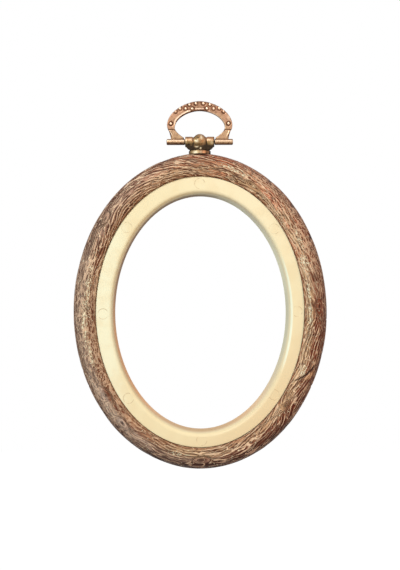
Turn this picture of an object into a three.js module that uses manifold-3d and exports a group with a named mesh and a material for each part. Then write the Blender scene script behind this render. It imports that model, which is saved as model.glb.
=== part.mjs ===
import * as THREE from "three";
import { mergeVertices } from "three/addons/utils/BufferGeometryUtils.js";
import Module from "manifold-3d";

// Oval flexible embroidery hoop that doubles as a hanging frame. A rigid plastic inner ring holds the
// fabric, a soft vinyl outer ring with a wood-grain face stretches round it, and a cast bail on a
// ball-and-barrel head hangs the pair from a hook.
// Millimetres, +Z up, front towards -Y. The origin is where a hook bears under the crown of the bail.

// Seam: the oval line on the front where the two rings meet.
const SEAM_HALF_WIDTH = 41.5;
const SEAM_HALF_HEIGHT = 53.9;
const SEAM_GAP = 0.3; // room between the rings, where the fabric is trapped
const RING_STEPS = 96;

// Outer ring section. u is the distance outwards from the seam, y runs from front to back.
const OUTER_WIDTH = 9.2;
const BOTTOM_NARROWING = 0.5; // the section is this much narrower at the bottom of the oval
const OUTER_FRONT_Y = -5;
const OUTER_BACK_Y = 5;
const OUTER_WIDEST_Y = 0.8;
const CREST_U = 4.4;
const SEAM_EDGE_Y = -3.4;
const FRONT_ROUNDNESS = 2; // superellipse exponents: 2 is round, more is squarer
const BACK_ROUNDNESS = 3.2;
const SADDLE_ROUNDNESS = 4.2; // the section squares up under the ferrule
const SADDLE_REACH = 7; // how far along the ring the squaring fades

// Inner ring section, a channel cored out from the back, with a lip that stops the outer ring.
const INNER_FRONT_Y = -2.9;
const INNER_BACK_Y = 4.7;
const INNER_WALL = 1.7;
const INNER_WEB = 1.9;
const FACE_WIDTH = 5.8;
const BORE_LEAN = 1.3; // how far the bore wall leans in from front to back
const FRONT_EDGE_RADIUS = 0.7;
const BACK_EDGE_CHAMFER = 0.2;
const LIP_REACH = 2.1;
const LIP_THICKNESS = 1.5;
const EJECTOR_MARKS = 8;
const EJECTOR_MARK_RADIUS = 2;
const EJECTOR_MARK_DEPTH = 0.12;

// Hanger: heights are measured from the pin, which is also the middle of the barrel.
const PIN_ABOVE_RING = 4.9;
const PIN_RADIUS = 0.6;
const PIN_FIT = 0.1; // radial room round the pin
const BARREL_RADIUS = 2.12;
const BARREL_LENGTH = 11.7;
const BALL_RADIUS = 2.65;
const BALL_RISE = 0.58; // the ball's heart stands this high over the pin
const BARREL_END_ROUNDING = 0.35;
const FERRULE_RADIUS = 4.4;
const FERRULE_HEIGHT = 2.1;
const FERRULE_SINK = 0.8; // how deep its seat is cut into the top of the outer ring
const FERRULE_EDGE = 0.55;
const SPIGOT_RADIUS = 2;
const SPIGOT_LENGTH = 1.7;
const COLLAR_RADIUS = 2.95;
const COLLAR_HEIGHT = 0.75;
const WEB_THICKNESS = 3.4;
const WEB_BEVEL = 0.3;
const WEB_BELLY = 0.1; // roundness of the web's lower corners
const SEAT_GAP = 0.03; // between flat metal faces that bear on each other

// Bail: a flat cast loop on two round feet.
const LOOP_HALF_WIDTH = 13.1;
const LOOP_TOP = 16.35;
const LOOP_WIDEST = 6.8;
const EYE_HALF_WIDTH = 10.05;
const EYE_TOP = 12.5;
const EYE_WIDEST = 5.8;
const ARCH_ROUNDNESS = 1.85; // superellipse exponent of the crown and of the eye's top
const ARCH_STEPS = 28;
const LOOP_THICKNESS = 1.2;
const LOOP_BEVEL = 0.22;
const FACE_RELIEF = 0.3; // the ornamented face stands this far in front of the loop
const FACE_INSET = 0.12;
const NECK_HEIGHT = 4.6; // where each leg is narrowest outside, under a small shoulder
const NECK_WAIST = 0.65;
const SHOULDER_HEIGHT = 0.7;
const LEG_STRAIGHT = 1.7; // the eye's lower corners stand at this height over the feet
const LEG_BULGE_HEIGHT = 4; // and swing out to the eye's width below this height
const LEG_BULGE = 0.1;
const LOOP_FOOT_HEIGHT = 0.4; // the loop is cast into its feet from here up
const FOOT_RADIUS = 1.2;
const FOOT_LENGTH = 7.3;
const FOOT_END_GAP = 0.16;
const FOOT_ROUNDING = 0.3;
const FOOT_OUTER = 11.5;
const FOOT_INNER = 6.35;
const PIN_END_WALL = 0.7;
const BOSS_RADIUS = 0.62;
const BOSS_HEIGHT = 0.3;
const BOSS_SINK = 0.1;
const CROWN_ROW_EDGE = 1; // from the loop's outer edge to the outer row of bosses
const CROWN_ROW = [1.5, 4.1, 7.75, 9.35]; // distances of the bosses from the middle, both ways
const EYE_ROW = [2.9, 5.6];
const EYE_ROW_RISE = 0.85; // the inner row stands level, this high over the top of the eye
const LEG_BOSS_EDGE = 1.55;
const LEG_BOSS_HEIGHT = 7.3;

// Fixing screw, put in from inside the outer ring.
const SCREW_RADIUS = 0.95;
const SCREW_FIT = 0.15;
const SCREW_TIP_WALL = 0.9; // from the screw's tip to the pin's bore
const SCREW_HEAD_RADIUS = 1.9;
const SCREW_HEAD_HEIGHT = 1.3;
const SCREW_SLOT = 0.5;
const SCREW_SLOT_LENGTH = 2.2;
const SCREW_SLOT_DEPTH = 0.7;
const WASHER_RADIUS = 2.25;
const WASHER_THICKNESS = 0.4;
const POCKET_DEPTH = 2.45; // from the inside wall of the outer ring
const POCKET_FIT = 0.25;

const PIN_Z = -EYE_TOP;
const RING_TOP_Z = PIN_Z - PIN_ABOVE_RING;
const HOOP_CENTRE_Z = RING_TOP_Z - OUTER_WIDTH - SEAM_HALF_HEIGHT;
const FERRULE_BASE = -PIN_ABOVE_RING - FERRULE_SINK;
const FERRULE_TOP = FERRULE_BASE + FERRULE_HEIGHT;
const POCKET_TOP = -PIN_ABOVE_RING - OUTER_WIDTH + SEAM_GAP / 2 + POCKET_DEPTH;

const wasm = await Module();
wasm.setup();

const MATERIALS = {
  woodGrainVinyl: new THREE.MeshStandardMaterial({ color: 0x8a6450, roughness: 0.5, metalness: 0 }),
  creamPlastic: new THREE.MeshStandardMaterial({ color: 0xf1dfb4, roughness: 0.4, metalness: 0 }),
  antiqueBrass: new THREE.MeshStandardMaterial({ color: 0x9a7442, roughness: 0.35, metalness: 1 }),
  antiqueCopper: new THREE.MeshStandardMaterial({ color: 0xb07c5a, roughness: 0.4, metalness: 1 }),
  steel: new THREE.MeshStandardMaterial({ color: 0xb4b4b0, roughness: 0.35, metalness: 1 }),
};

// Closed geometry to solid, without the sliver faces that a lathe leaves on its axis.
function solidOf(geometry) {
  const bare = geometry.index ? geometry.toNonIndexed() : geometry.clone();
  for (const attribute of ["normal", "uv"]) bare.deleteAttribute(attribute);
  const merged = mergeVertices(bare, 1e-4);
  const corners = [];
  for (let i = 0; i < merged.index.count; i += 3) {
    const [a, b, c] = [0, 1, 2].map((k) => merged.index.getX(i + k));
    if (a !== b && b !== c && c !== a) corners.push(a, b, c);
  }
  const mesh = new wasm.Mesh({
    numProp: 3,
    vertProperties: merged.attributes.position.array,
    triVerts: new Uint32Array(corners),
  });
  return new wasm.Manifold(mesh);
}

function namedMesh(name, solid, material) {
  const mesh = solid.getMesh();
  const geometry = new THREE.BufferGeometry();
  geometry.setAttribute("position", new THREE.BufferAttribute(mesh.vertProperties, 3));
  geometry.setIndex(new THREE.BufferAttribute(mesh.triVerts, 1));
  geometry.computeVertexNormals();
  const made = new THREE.Mesh(geometry, material);
  made.name = name;
  return made;
}

// A turned piece about Z from its [radius, height] profile, lowest point first.
function turned(profile, segments = 24) {
  const points = profile.map(([r, z]) => new THREE.Vector2(r, z));
  return new THREE.LatheGeometry(points, segments).rotateX(Math.PI / 2);
}

function rod(radius, from, to, segments = 16) {
  return turned([[0, from], [radius, from], [radius, to], [0, to]], segments);
}

const alongX = (geometry) => geometry.rotateY(Math.PI / 2);

// A slab of the given outline in the XZ plane, with its middle on y = 0.
function slab(shape, thickness, bevel = 0, curveSegments = 8) {
  const geometry = new THREE.ExtrudeGeometry(shape, {
    depth: thickness - 2 * bevel,
    bevelEnabled: bevel > 0,
    bevelSize: bevel,
    bevelOffset: -bevel,
    bevelThickness: bevel,
    bevelSegments: 1,
    curveSegments,
  });
  return geometry.translate(0, 0, bevel - thickness / 2).rotateX(Math.PI / 2);
}

// Frame of the seam oval at parameter t: a point on it and the direction outwards.
function seamFrame(t) {
  const point = new THREE.Vector2(SEAM_HALF_WIDTH * Math.cos(t), SEAM_HALF_HEIGHT * Math.sin(t));
  const outwards = new THREE.Vector2(
    SEAM_HALF_HEIGHT * Math.cos(t),
    SEAM_HALF_WIDTH * Math.sin(t),
  ).normalize();
  return { point, outwards };
}

// A closed ring whose section, a list of [u, y], is carried round the seam oval.
function sweptRing(sectionAt) {
  const positions = [];
  const faces = [];
  let count = 0;
  for (let i = 0; i < RING_STEPS; i++) {
    const t = (i / RING_STEPS) * 2 * Math.PI;
    const { point, outwards } = seamFrame(t);
    const section = sectionAt(point);
    count = section.length;
    for (const [u, y] of section) {
      positions.push(point.x + u * outwards.x, y, point.y + u * outwards.y);
    }
  }
  for (let i = 0; i < RING_STEPS; i++) {
    const next = (i + 1) % RING_STEPS;
    for (let j = 0; j < count; j++) {
      const k = (j + 1) % count;
      const [a, b, c, d] = [i * count + j, i * count + k, next * count + k, next * count + j];
      faces.push(a, b, c, a, c, d);
    }
  }
  const geometry = new THREE.BufferGeometry();
  geometry.setAttribute("position", new THREE.Float32BufferAttribute(positions, 3));
  geometry.setIndex(faces);
  return geometry;
}

// Quarter of a superellipse from (0, 1) to (1, 0), as [across, along] pairs, both ends included.
function quarterRound(exponent, steps) {
  return Array.from({ length: steps + 1 }, (_, i) => {
    const angle = (i / steps) * (Math.PI / 2);
    return [Math.sin(angle) ** (2 / exponent), Math.cos(angle) ** (2 / exponent)];
  });
}

// Outer ring: domed front, flat back, and a rebate at the back for the lip of the inner ring.
function outerSection(point) {
  const fromTop = Math.hypot(point.x, SEAM_HALF_HEIGHT - point.y);
  const saddle = Math.exp(-((fromTop / SADDLE_REACH) ** 2));
  const front = THREE.MathUtils.lerp(FRONT_ROUNDNESS, SADDLE_ROUNDNESS, saddle);
  const back = THREE.MathUtils.lerp(BACK_ROUNDNESS, SADDLE_ROUNDNESS, saddle);
  const downTheRing = (1 - point.y / SEAM_HALF_HEIGHT) / 2;
  const reach = OUTER_WIDTH - BOTTOM_NARROWING * downTheRing ** 3 - CREST_U;
  const domeHeight = OUTER_WIDEST_Y - OUTER_FRONT_Y;
  const backHeight = OUTER_BACK_Y - OUTER_WIDEST_Y;
  const wall = SEAM_GAP / 2;
  const seamShare = (OUTER_WIDEST_Y - SEAM_EDGE_Y) / domeHeight;
  const innerReach = (CREST_U - wall) / Math.sqrt(1 - seamShare ** 2);
  const innerSteps = 5;
  const innerDome = Array.from({ length: innerSteps }, (_, i) => {
    const u = THREE.MathUtils.lerp(wall, CREST_U, i / innerSteps);
    return [u, OUTER_WIDEST_Y - domeHeight * Math.sqrt(1 - ((CREST_U - u) / innerReach) ** 2)];
  });
  const outerDome = quarterRound(front, 7).map(([across, along]) => [
    CREST_U + reach * across,
    OUTER_WIDEST_Y - domeHeight * along,
  ]);
  const backRound = quarterRound(back, 6)
    .reverse()
    .slice(1)
    .map(([across, along]) => [CREST_U + reach * across, OUTER_WIDEST_Y + backHeight * along]);
  const rebateU = LIP_REACH + SEAM_GAP;
  const rebateY = INNER_BACK_Y - LIP_THICKNESS - SEAM_GAP;
  const rebate = [[rebateU, OUTER_BACK_Y], [rebateU, rebateY], [wall, rebateY]];
  return [...innerDome, ...outerDome, ...backRound, ...rebate];
}

function outerRing() {
  const ring = solidOf(sweptRing(outerSection));
  const top = SEAM_HALF_HEIGHT + OUTER_WIDTH;
  const pinLocal = top + PIN_ABOVE_RING;
  const above = top + FERRULE_HEIGHT;
  const seat = rod(FERRULE_RADIUS + SEAM_GAP / 2, pinLocal + FERRULE_BASE - SEAT_GAP, above, 32);
  const hole = rod(SCREW_RADIUS + SCREW_FIT, SEAM_HALF_HEIGHT, above);
  const pocketRadius = WASHER_RADIUS + POCKET_FIT;
  const pocket = rod(pocketRadius, SEAM_HALF_HEIGHT - POCKET_DEPTH, pinLocal + POCKET_TOP, 24);
  return [seat, hole, pocket].reduce((body, cut) => body.subtract(solidOf(cut)), ring);
}

// Inner ring: flat face with a rounded edge to a leaning bore, cored out from the back. The points
// go across the face, down the bore and round the core to the lip.
function innerSection() {
  const outside = -SEAM_GAP / 2;
  const faceEnd = outside - FACE_WIDTH;
  const boreBack = faceEnd - BORE_LEAN;
  const webY = INNER_FRONT_Y + INNER_WEB;
  const lipY = INNER_BACK_Y - LIP_THICKNESS;
  const leanAt = (y) => ((y - INNER_FRONT_Y) / (INNER_BACK_Y - INNER_FRONT_Y)) * BORE_LEAN;
  const roundedEdge = quarterRound(2, 3).map(([across, along]) => [
    faceEnd + FRONT_EDGE_RADIUS * (1 - across),
    INNER_FRONT_Y + FRONT_EDGE_RADIUS * (1 - along),
  ]);
  return [
    [outside, INNER_FRONT_Y + SEAM_GAP],
    [outside - SEAM_GAP, INNER_FRONT_Y],
    ...roundedEdge,
    [boreBack, INNER_BACK_Y - BACK_EDGE_CHAMFER],
    [boreBack + BACK_EDGE_CHAMFER, INNER_BACK_Y],
    [boreBack + INNER_WALL, INNER_BACK_Y],
    [faceEnd - leanAt(webY) + INNER_WALL, webY],
    [outside - INNER_WALL, webY],
    [outside - INNER_WALL, INNER_BACK_Y],
    [LIP_REACH - BACK_EDGE_CHAMFER, INNER_BACK_Y],
    [LIP_REACH, INNER_BACK_Y - BACK_EDGE_CHAMFER],
    [LIP_REACH, lipY],
    [outside, lipY],
  ].reverse();
}

function innerRing() {
  const ring = solidOf(sweptRing(innerSection));
  const markU = -(SEAM_GAP + FACE_WIDTH) / 2;
  const marks = Array.from({ length: EJECTOR_MARKS }, (_, i) => {
    const { point, outwards } = seamFrame((i / EJECTOR_MARKS) * 2 * Math.PI);
    const centre = point.addScaledVector(outwards, markU);
    const depth = 2 * EJECTOR_MARK_DEPTH;
    return new THREE.CylinderGeometry(EJECTOR_MARK_RADIUS, EJECTOR_MARK_RADIUS, depth, 20)
      .translate(centre.x, INNER_FRONT_Y, centre.y);
  });
  return marks.reduce((body, mark) => body.subtract(solidOf(mark)), ring);
}

// Half a superellipse from right to left over its top, given its widest and its starting height.
function arch(halfWidth, top, widest, startHeight) {
  const rise = top - widest;
  const start = -Math.asin(((widest - startHeight) / rise) ** (ARCH_ROUNDNESS / 2));
  return Array.from({ length: ARCH_STEPS + 1 }, (_, i) => {
    const angle = THREE.MathUtils.lerp(start, Math.PI - start, i / ARCH_STEPS);
    const [across, up] = [Math.cos(angle), Math.sin(angle)].map(
      (share) => Math.sign(share) * Math.abs(share) ** (2 / ARCH_ROUNDNESS),
    );
    return new THREE.Vector2(halfWidth * across, widest + rise * up);
  });
}

// Outline of the loop: up one leg, over the crown, down the other, and back round the eye.
function loopShape() {
  const shape = new THREE.Shape();
  const crown = arch(LOOP_HALF_WIDTH, LOOP_TOP, LOOP_WIDEST, LOOP_WIDEST);
  const eyeTop = arch(EYE_HALF_WIDTH, EYE_TOP, EYE_WIDEST, EYE_WIDEST).reverse();
  const waist = LOOP_HALF_WIDTH - NECK_WAIST;
  const shoulder = NECK_HEIGHT + SHOULDER_HEIGHT;
  const eyeBulge = EYE_HALF_WIDTH - LEG_BULGE;
  const base = LOOP_FOOT_HEIGHT;
  shape.moveTo(FOOT_OUTER, base);
  shape.quadraticCurveTo(FOOT_OUTER, NECK_HEIGHT / 2, waist, NECK_HEIGHT);
  shape.quadraticCurveTo(LOOP_HALF_WIDTH, shoulder, LOOP_HALF_WIDTH, LOOP_WIDEST);
  crown.slice(1).forEach(({ x, y }) => shape.lineTo(x, y));
  shape.quadraticCurveTo(-LOOP_HALF_WIDTH, shoulder, -waist, NECK_HEIGHT);
  shape.quadraticCurveTo(-FOOT_OUTER, NECK_HEIGHT / 2, -FOOT_OUTER, base);
  shape.lineTo(-FOOT_INNER, base);
  shape.lineTo(-FOOT_INNER, LEG_STRAIGHT);
  shape.quadraticCurveTo(-eyeBulge, LEG_BULGE_HEIGHT, -EYE_HALF_WIDTH, EYE_WIDEST);
  eyeTop.slice(1).forEach(({ x, y }) => shape.lineTo(x, y));
  shape.quadraticCurveTo(eyeBulge, LEG_BULGE_HEIGHT, FOOT_INNER, LEG_STRAIGHT);
  shape.lineTo(FOOT_INNER, base);
  return shape;
}

// Raised face of the loop: the same arch above the shoulders, set in from the edges all round.
function faceShape() {
  const inset = LOOP_BEVEL + FACE_INSET;
  const shoulder = NECK_HEIGHT + SHOULDER_HEIGHT;
  const outer = arch(LOOP_HALF_WIDTH - inset, LOOP_TOP - inset, LOOP_WIDEST, shoulder);
  const inner = arch(EYE_HALF_WIDTH + inset, EYE_TOP + inset, EYE_WIDEST, shoulder);
  return new THREE.Shape([...outer, ...inner.reverse()]);
}

// Places of the round bosses: a row inside the crown's edge, a row over the eye, one on each leg.
function bossPlaces() {
  const halfWidth = LOOP_HALF_WIDTH - CROWN_ROW_EDGE;
  const rise = LOOP_TOP - LOOP_WIDEST - CROWN_ROW_EDGE;
  const crown = CROWN_ROW.map((x) => {
    const up = (1 - (x / halfWidth) ** ARCH_ROUNDNESS) ** (1 / ARCH_ROUNDNESS);
    return [x, LOOP_WIDEST + rise * up];
  });
  const eye = EYE_ROW.map((x) => [x, EYE_TOP + EYE_ROW_RISE]);
  const right = [...crown, ...eye, [LOOP_HALF_WIDTH - LEG_BOSS_EDGE, LEG_BOSS_HEIGHT]];
  return [...right, ...right.map(([x, z]) => [-x, z])];
}

function bail() {
  const loop = solidOf(slab(loopShape(), LOOP_THICKNESS, LOOP_BEVEL, 14));
  const faceDepth = FACE_RELIEF + LOOP_THICKNESS / 2;
  const face = solidOf(slab(faceShape(), faceDepth, 0, 14).translate(0, -faceDepth / 2, 0));
  const bosses = bossPlaces().map(([x, z]) => {
    const dome = turned(
      [
        [0, -BOSS_SINK],
        [BOSS_RADIUS, -BOSS_SINK],
        [BOSS_RADIUS, BOSS_HEIGHT / 3],
        [BOSS_RADIUS / 2, BOSS_HEIGHT],
        [0, BOSS_HEIGHT],
      ],
      10,
    );
    return solidOf(dome.rotateX(Math.PI / 2).translate(x, -faceDepth, z));
  });
  const footStart = BARREL_LENGTH / 2 + FOOT_END_GAP;
  const footEnd = footStart + FOOT_LENGTH;
  const footProfile = [
    [0, footStart],
    [FOOT_RADIUS - FOOT_ROUNDING, footStart],
    [FOOT_RADIUS, footStart + FOOT_ROUNDING],
    [FOOT_RADIUS, footEnd - FOOT_ROUNDING],
    [FOOT_RADIUS - FOOT_ROUNDING, footEnd],
    [0, footEnd],
  ];
  const feet = [0, Math.PI].map((turn) => solidOf(alongX(turned(footProfile, 16)).rotateZ(turn)));
  const boreEnd = footEnd - PIN_END_WALL;
  const bore = solidOf(alongX(rod(PIN_RADIUS + PIN_FIT, -boreEnd, boreEnd)));
  return [...bosses, face, ...feet].reduce((body, piece) => body.add(piece), loop).subtract(bore);
}

function hingePin() {
  const end = BARREL_LENGTH / 2 + FOOT_END_GAP + FOOT_LENGTH - PIN_END_WALL - PIN_FIT;
  return solidOf(alongX(rod(PIN_RADIUS, -end, end)));
}

// Head: barrel for the pin with a ball at its middle, on a webbed neck with a spigot below.
function hangerHead() {
  const half = BARREL_LENGTH / 2;
  const barrel = alongX(
    turned([
      [0, -half],
      [BARREL_RADIUS - BARREL_END_ROUNDING, -half],
      [BARREL_RADIUS, -half + BARREL_END_ROUNDING],
      [BARREL_RADIUS, half - BARREL_END_ROUNDING],
      [BARREL_RADIUS - BARREL_END_ROUNDING, half],
      [0, half],
    ]),
  );
  const ball = new THREE.SphereGeometry(BALL_RADIUS, 24, 16)
    .rotateX(Math.PI / 2)
    .translate(0, 0, BALL_RISE);
  const seat = FERRULE_TOP + SEAT_GAP;
  const web = new THREE.Shape();
  const webTop = half - BARREL_END_ROUNDING;
  const webFoot = FERRULE_RADIUS - FERRULE_EDGE;
  web.moveTo(-webTop, 0);
  web.bezierCurveTo(-webTop, seat / 2, -webTop + WEB_BELLY, seat, -webFoot, seat);
  web.lineTo(webFoot, seat);
  web.bezierCurveTo(webTop - WEB_BELLY, seat, webTop, seat / 2, webTop, 0);
  const collar = turned([
    [0, seat],
    [COLLAR_RADIUS, seat],
    [COLLAR_RADIUS, seat + COLLAR_HEIGHT / 2],
    [COLLAR_RADIUS - COLLAR_HEIGHT / 2, seat + COLLAR_HEIGHT],
    [0, seat + COLLAR_HEIGHT],
  ]);
  const spigot = rod(SPIGOT_RADIUS, seat - SPIGOT_LENGTH, seat + COLLAR_HEIGHT / 2, 24);
  const bore = alongX(rod(PIN_RADIUS + PIN_FIT, -BARREL_LENGTH, BARREL_LENGTH));
  const thread = rod(SCREW_RADIUS + SCREW_FIT / 2, -2 * PIN_ABOVE_RING, screwTip() + SCREW_FIT);
  const body = [ball, slab(web, WEB_THICKNESS, WEB_BEVEL), collar, spigot]
    .reduce((made, piece) => made.add(solidOf(piece)), solidOf(barrel));
  return body.subtract(solidOf(bore)).subtract(solidOf(thread));
}

// Ferrule: a low turned collar between the head and the ring.
function ferrule() {
  const inside = SPIGOT_RADIUS + PIN_FIT;
  return solidOf(
    turned(
      [
        [inside, FERRULE_BASE],
        [FERRULE_RADIUS - FERRULE_EDGE / 2, FERRULE_BASE],
        [FERRULE_RADIUS, FERRULE_BASE + FERRULE_EDGE],
        [FERRULE_RADIUS, FERRULE_TOP - FERRULE_EDGE],
        [FERRULE_RADIUS - FERRULE_EDGE * 0.3, FERRULE_TOP - FERRULE_EDGE * 0.3],
        [FERRULE_RADIUS - FERRULE_EDGE, FERRULE_TOP],
        [inside, FERRULE_TOP],
        [inside, FERRULE_BASE],
      ],
      32,
    ),
  );
}

function screwSeat() {
  return POCKET_TOP - 2 * SEAT_GAP - WASHER_THICKNESS;
}

function screwTip() {
  return -PIN_RADIUS - PIN_FIT - SCREW_TIP_WALL;
}

// Pan-head screw with a cross recess, pointing up into the head.
function fixingScrew() {
  const seat = screwSeat();
  const foot = seat - SCREW_HEAD_HEIGHT;
  const body = solidOf(
    turned(
      [
        [0, foot],
        [SCREW_HEAD_RADIUS * 0.7, foot],
        [SCREW_HEAD_RADIUS * 0.95, foot + SCREW_HEAD_HEIGHT * 0.35],
        [SCREW_HEAD_RADIUS, seat],
        [SCREW_RADIUS, seat],
        [SCREW_RADIUS, screwTip() - 0.4],
        [SCREW_RADIUS * 0.6, screwTip()],
        [0, screwTip()],
      ],
      16,
    ),
  );
  const slots = [0, Math.PI / 2].map((turn) =>
    solidOf(
      new THREE.BoxGeometry(SCREW_SLOT_LENGTH, SCREW_SLOT, 2 * SCREW_SLOT_DEPTH)
        .rotateZ(turn)
        .translate(0, 0, foot),
    ),
  );
  return slots.reduce((made, slot) => made.subtract(slot), body);
}

function screwWasher() {
  const top = POCKET_TOP - SEAT_GAP;
  const base = top - WASHER_THICKNESS;
  const inside = SCREW_RADIUS + SCREW_FIT;
  const profile = [[inside, base], [WASHER_RADIUS, base], [WASHER_RADIUS, top], [inside, top]];
  return solidOf(turned([...profile, profile[0]]));
}

const hoop = new THREE.Group();
hoop.position.z = HOOP_CENTRE_Z;
hoop.add(
  namedMesh("outer_ring", outerRing(), MATERIALS.woodGrainVinyl),
  namedMesh("inner_ring", innerRing(), MATERIALS.creamPlastic),
);

const hanger = new THREE.Group();
hanger.position.z = PIN_Z;
hanger.add(
  namedMesh("bail", bail(), MATERIALS.antiqueCopper),
  namedMesh("hinge_pin", hingePin(), MATERIALS.steel),
  namedMesh("hanger_head", hangerHead(), MATERIALS.antiqueBrass),
  namedMesh("ferrule", ferrule(), MATERIALS.antiqueBrass),
  namedMesh("fixing_screw", fixingScrew(), MATERIALS.steel),
  namedMesh("screw_washer", screwWasher(), MATERIALS.steel),
);

const part = new THREE.Group();
part.add(hoop, hanger);

export default part;
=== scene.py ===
"""Oval flexible embroidery hoop with a hinged hanging loop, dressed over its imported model.

Lengths are in metres where they place geometry, and in millimetres (named MM or *_mm) inside
the grain and ornament formulas. +Z is up, the front faces -Y, and the origin is where a hook
bears under the crown of the hanging loop.
"""

import math

import bpy
import numpy as np
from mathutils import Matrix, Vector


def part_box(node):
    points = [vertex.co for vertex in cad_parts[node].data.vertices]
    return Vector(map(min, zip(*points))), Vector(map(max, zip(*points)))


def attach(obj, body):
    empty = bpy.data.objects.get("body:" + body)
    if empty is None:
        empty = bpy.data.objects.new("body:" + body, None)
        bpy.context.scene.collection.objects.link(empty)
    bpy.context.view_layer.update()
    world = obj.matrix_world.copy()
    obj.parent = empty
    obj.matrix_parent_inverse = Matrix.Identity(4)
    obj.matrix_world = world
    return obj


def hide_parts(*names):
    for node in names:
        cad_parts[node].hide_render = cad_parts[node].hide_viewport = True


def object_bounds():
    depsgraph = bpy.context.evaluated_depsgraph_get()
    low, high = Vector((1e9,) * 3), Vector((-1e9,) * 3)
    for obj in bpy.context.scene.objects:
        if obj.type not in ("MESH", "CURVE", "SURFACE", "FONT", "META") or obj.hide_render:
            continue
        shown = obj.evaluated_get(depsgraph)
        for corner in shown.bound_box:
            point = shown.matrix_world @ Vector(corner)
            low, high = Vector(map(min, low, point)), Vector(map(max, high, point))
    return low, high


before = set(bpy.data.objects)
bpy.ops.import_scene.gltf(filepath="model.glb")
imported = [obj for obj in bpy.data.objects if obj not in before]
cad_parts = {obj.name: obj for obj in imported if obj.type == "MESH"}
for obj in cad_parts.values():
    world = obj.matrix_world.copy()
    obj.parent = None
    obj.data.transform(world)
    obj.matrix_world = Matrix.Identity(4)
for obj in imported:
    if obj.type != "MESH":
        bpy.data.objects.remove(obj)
cad_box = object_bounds()
MM = 0.001

# Inner ring
# A rigid moulding in cream plastic with a flat face, a rounded inner edge and a leaning bore.
# It is cored out from behind, and a lip at its back stops the outer ring that grips it.

INNER_STEPS = 640
LIP_REACH = 2.1 * MM
SEAM_GAP = 0.09 * MM
LIP_GAP = 0.3 * MM
FACE_WIDTH = 5.8 * MM
BORE_LEAN = 1.3 * MM
INNER_WALL = 1.7 * MM
INNER_WEB = 1.9 * MM
LIP_THICKNESS = 1.5 * MM
BORE_EDGE_RADIUS = 1.5 * MM
MOULD_RADIUS = 0.18 * MM
FACE_SPACING = 0.42 * MM
CORNER_STEPS = 6
# Where the bore's edges stand off the oval's middle. The shift starts and is full this far from
# the seam.
BORE_SHIFT_FRONT = np.array([0.4, -0.65]) * MM
BORE_SHIFT_BACK = np.array([0.1, -0.25]) * MM
BORE_SHIFT_START, BORE_SHIFT_FULL = 1.8 * MM, 4.0 * MM
EJECTOR_MARK_DEGREES = [0, 39.6, 90, 139.4, 181, 222, 271, 320]
EJECTOR_MARK_RADIUS_MM = 2.05
FAR_FROM_MARKS_MM = 10.0

inner_low, inner_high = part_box("inner_ring")
SEAM_HALF_WIDTH = inner_high.x - LIP_REACH
SEAM_HALF_HEIGHT = (inner_high.z - inner_low.z) / 2 - LIP_REACH
HOOP_CENTRE_Z = (inner_high.z + inner_low.z) / 2


def oval_at(angle):
    """Points of the oval where the rings meet and its outward directions, both as x, z pairs."""
    across, up = np.cos(angle), np.sin(angle)
    points = np.stack([SEAM_HALF_WIDTH * across, SEAM_HALF_HEIGHT * up], axis=1)
    outwards = np.stack([SEAM_HALF_HEIGHT * across, SEAM_HALF_WIDTH * up], axis=1)
    return points, outwards / np.linalg.norm(outwards, axis=1, keepdims=True)


def seam_oval(steps):
    """The same oval, stepped evenly along its length.

    Returns its points and outward directions, the ellipse parameter and the distance along the
    oval of each step, and the whole length.
    """
    dense = np.linspace(0, 2 * np.pi, 20001)
    speed = np.hypot(SEAM_HALF_WIDTH * np.sin(dense), SEAM_HALF_HEIGHT * np.cos(dense))
    travelled = np.concatenate([[0], np.cumsum((speed[1:] + speed[:-1]) / 2 * np.diff(dense))])
    along = np.arange(steps) * travelled[-1] / steps
    angle = np.interp(along, travelled, dense)
    return *oval_at(angle), angle, along, travelled[-1]


def filleted_loop(corners, radii, spacing, arc_steps):
    """A closed outline with each corner rounded by an arc that touches both its sides.

    The arc's centre lies on the corner's bisector at radius / sin(half the corner's angle), and
    straight stretches are split so that no step is longer than spacing.
    """
    corners = np.asarray(corners, float)
    outline = []
    for i, (corner, radius) in enumerate(zip(corners, radii)):
        back = corners[i - 1] - corner
        ahead = corners[(i + 1) % len(corners)] - corner
        back, ahead = back / np.linalg.norm(back), ahead / np.linalg.norm(ahead)
        half = math.acos(np.clip(back @ ahead, -1, 1)) / 2
        reach = radius / math.tan(half)
        bisector = (back + ahead) / np.linalg.norm(back + ahead)
        centre = corner + bisector * radius / math.sin(half)
        start, end = corner + back * reach - centre, corner + ahead * reach - centre
        share = np.linspace(0, 1, arc_steps)[:, None]
        arc = start * (1 - share) + end * share
        outline.append(centre + arc * radius / np.linalg.norm(arc, axis=1, keepdims=True))
    outline = np.concatenate(outline)
    pieces = []
    for a, b in zip(outline, np.roll(outline, -1, axis=0)):
        count = max(1, math.ceil(np.linalg.norm(b - a) / spacing))
        pieces.append(a + (b - a) * (np.arange(count) / count)[:, None])
    return np.concatenate(pieces)


def carried_round(section, oval):
    """Points of a ring: at each step the section's [u, y] stand at point + u * outwards."""
    points, outwards = oval[0], oval[1]
    flat = points[:, None, :] + section[..., 0:1] * outwards[:, None, :]
    y = np.broadcast_to(section[..., 1], flat.shape[:2])
    return np.stack([flat[..., 0], y, flat[..., 1] + HOOP_CENTRE_Z], axis=-1)


def ramp(value, start, full):
    """0 at start, 1 at full, straight between them."""
    return np.clip((value - start) / (full - start), 0, 1)


def eased(share):
    """A share from 0 to 1 that starts and ends smoothly, by 3 s^2 - 2 s^3."""
    return share * share * (3 - 2 * share)


def placed(name, data):
    """An object that is made from its data and stands in the scene."""
    made = bpy.data.objects.new(name, data)
    bpy.context.scene.collection.objects.link(made)
    return made


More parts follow.
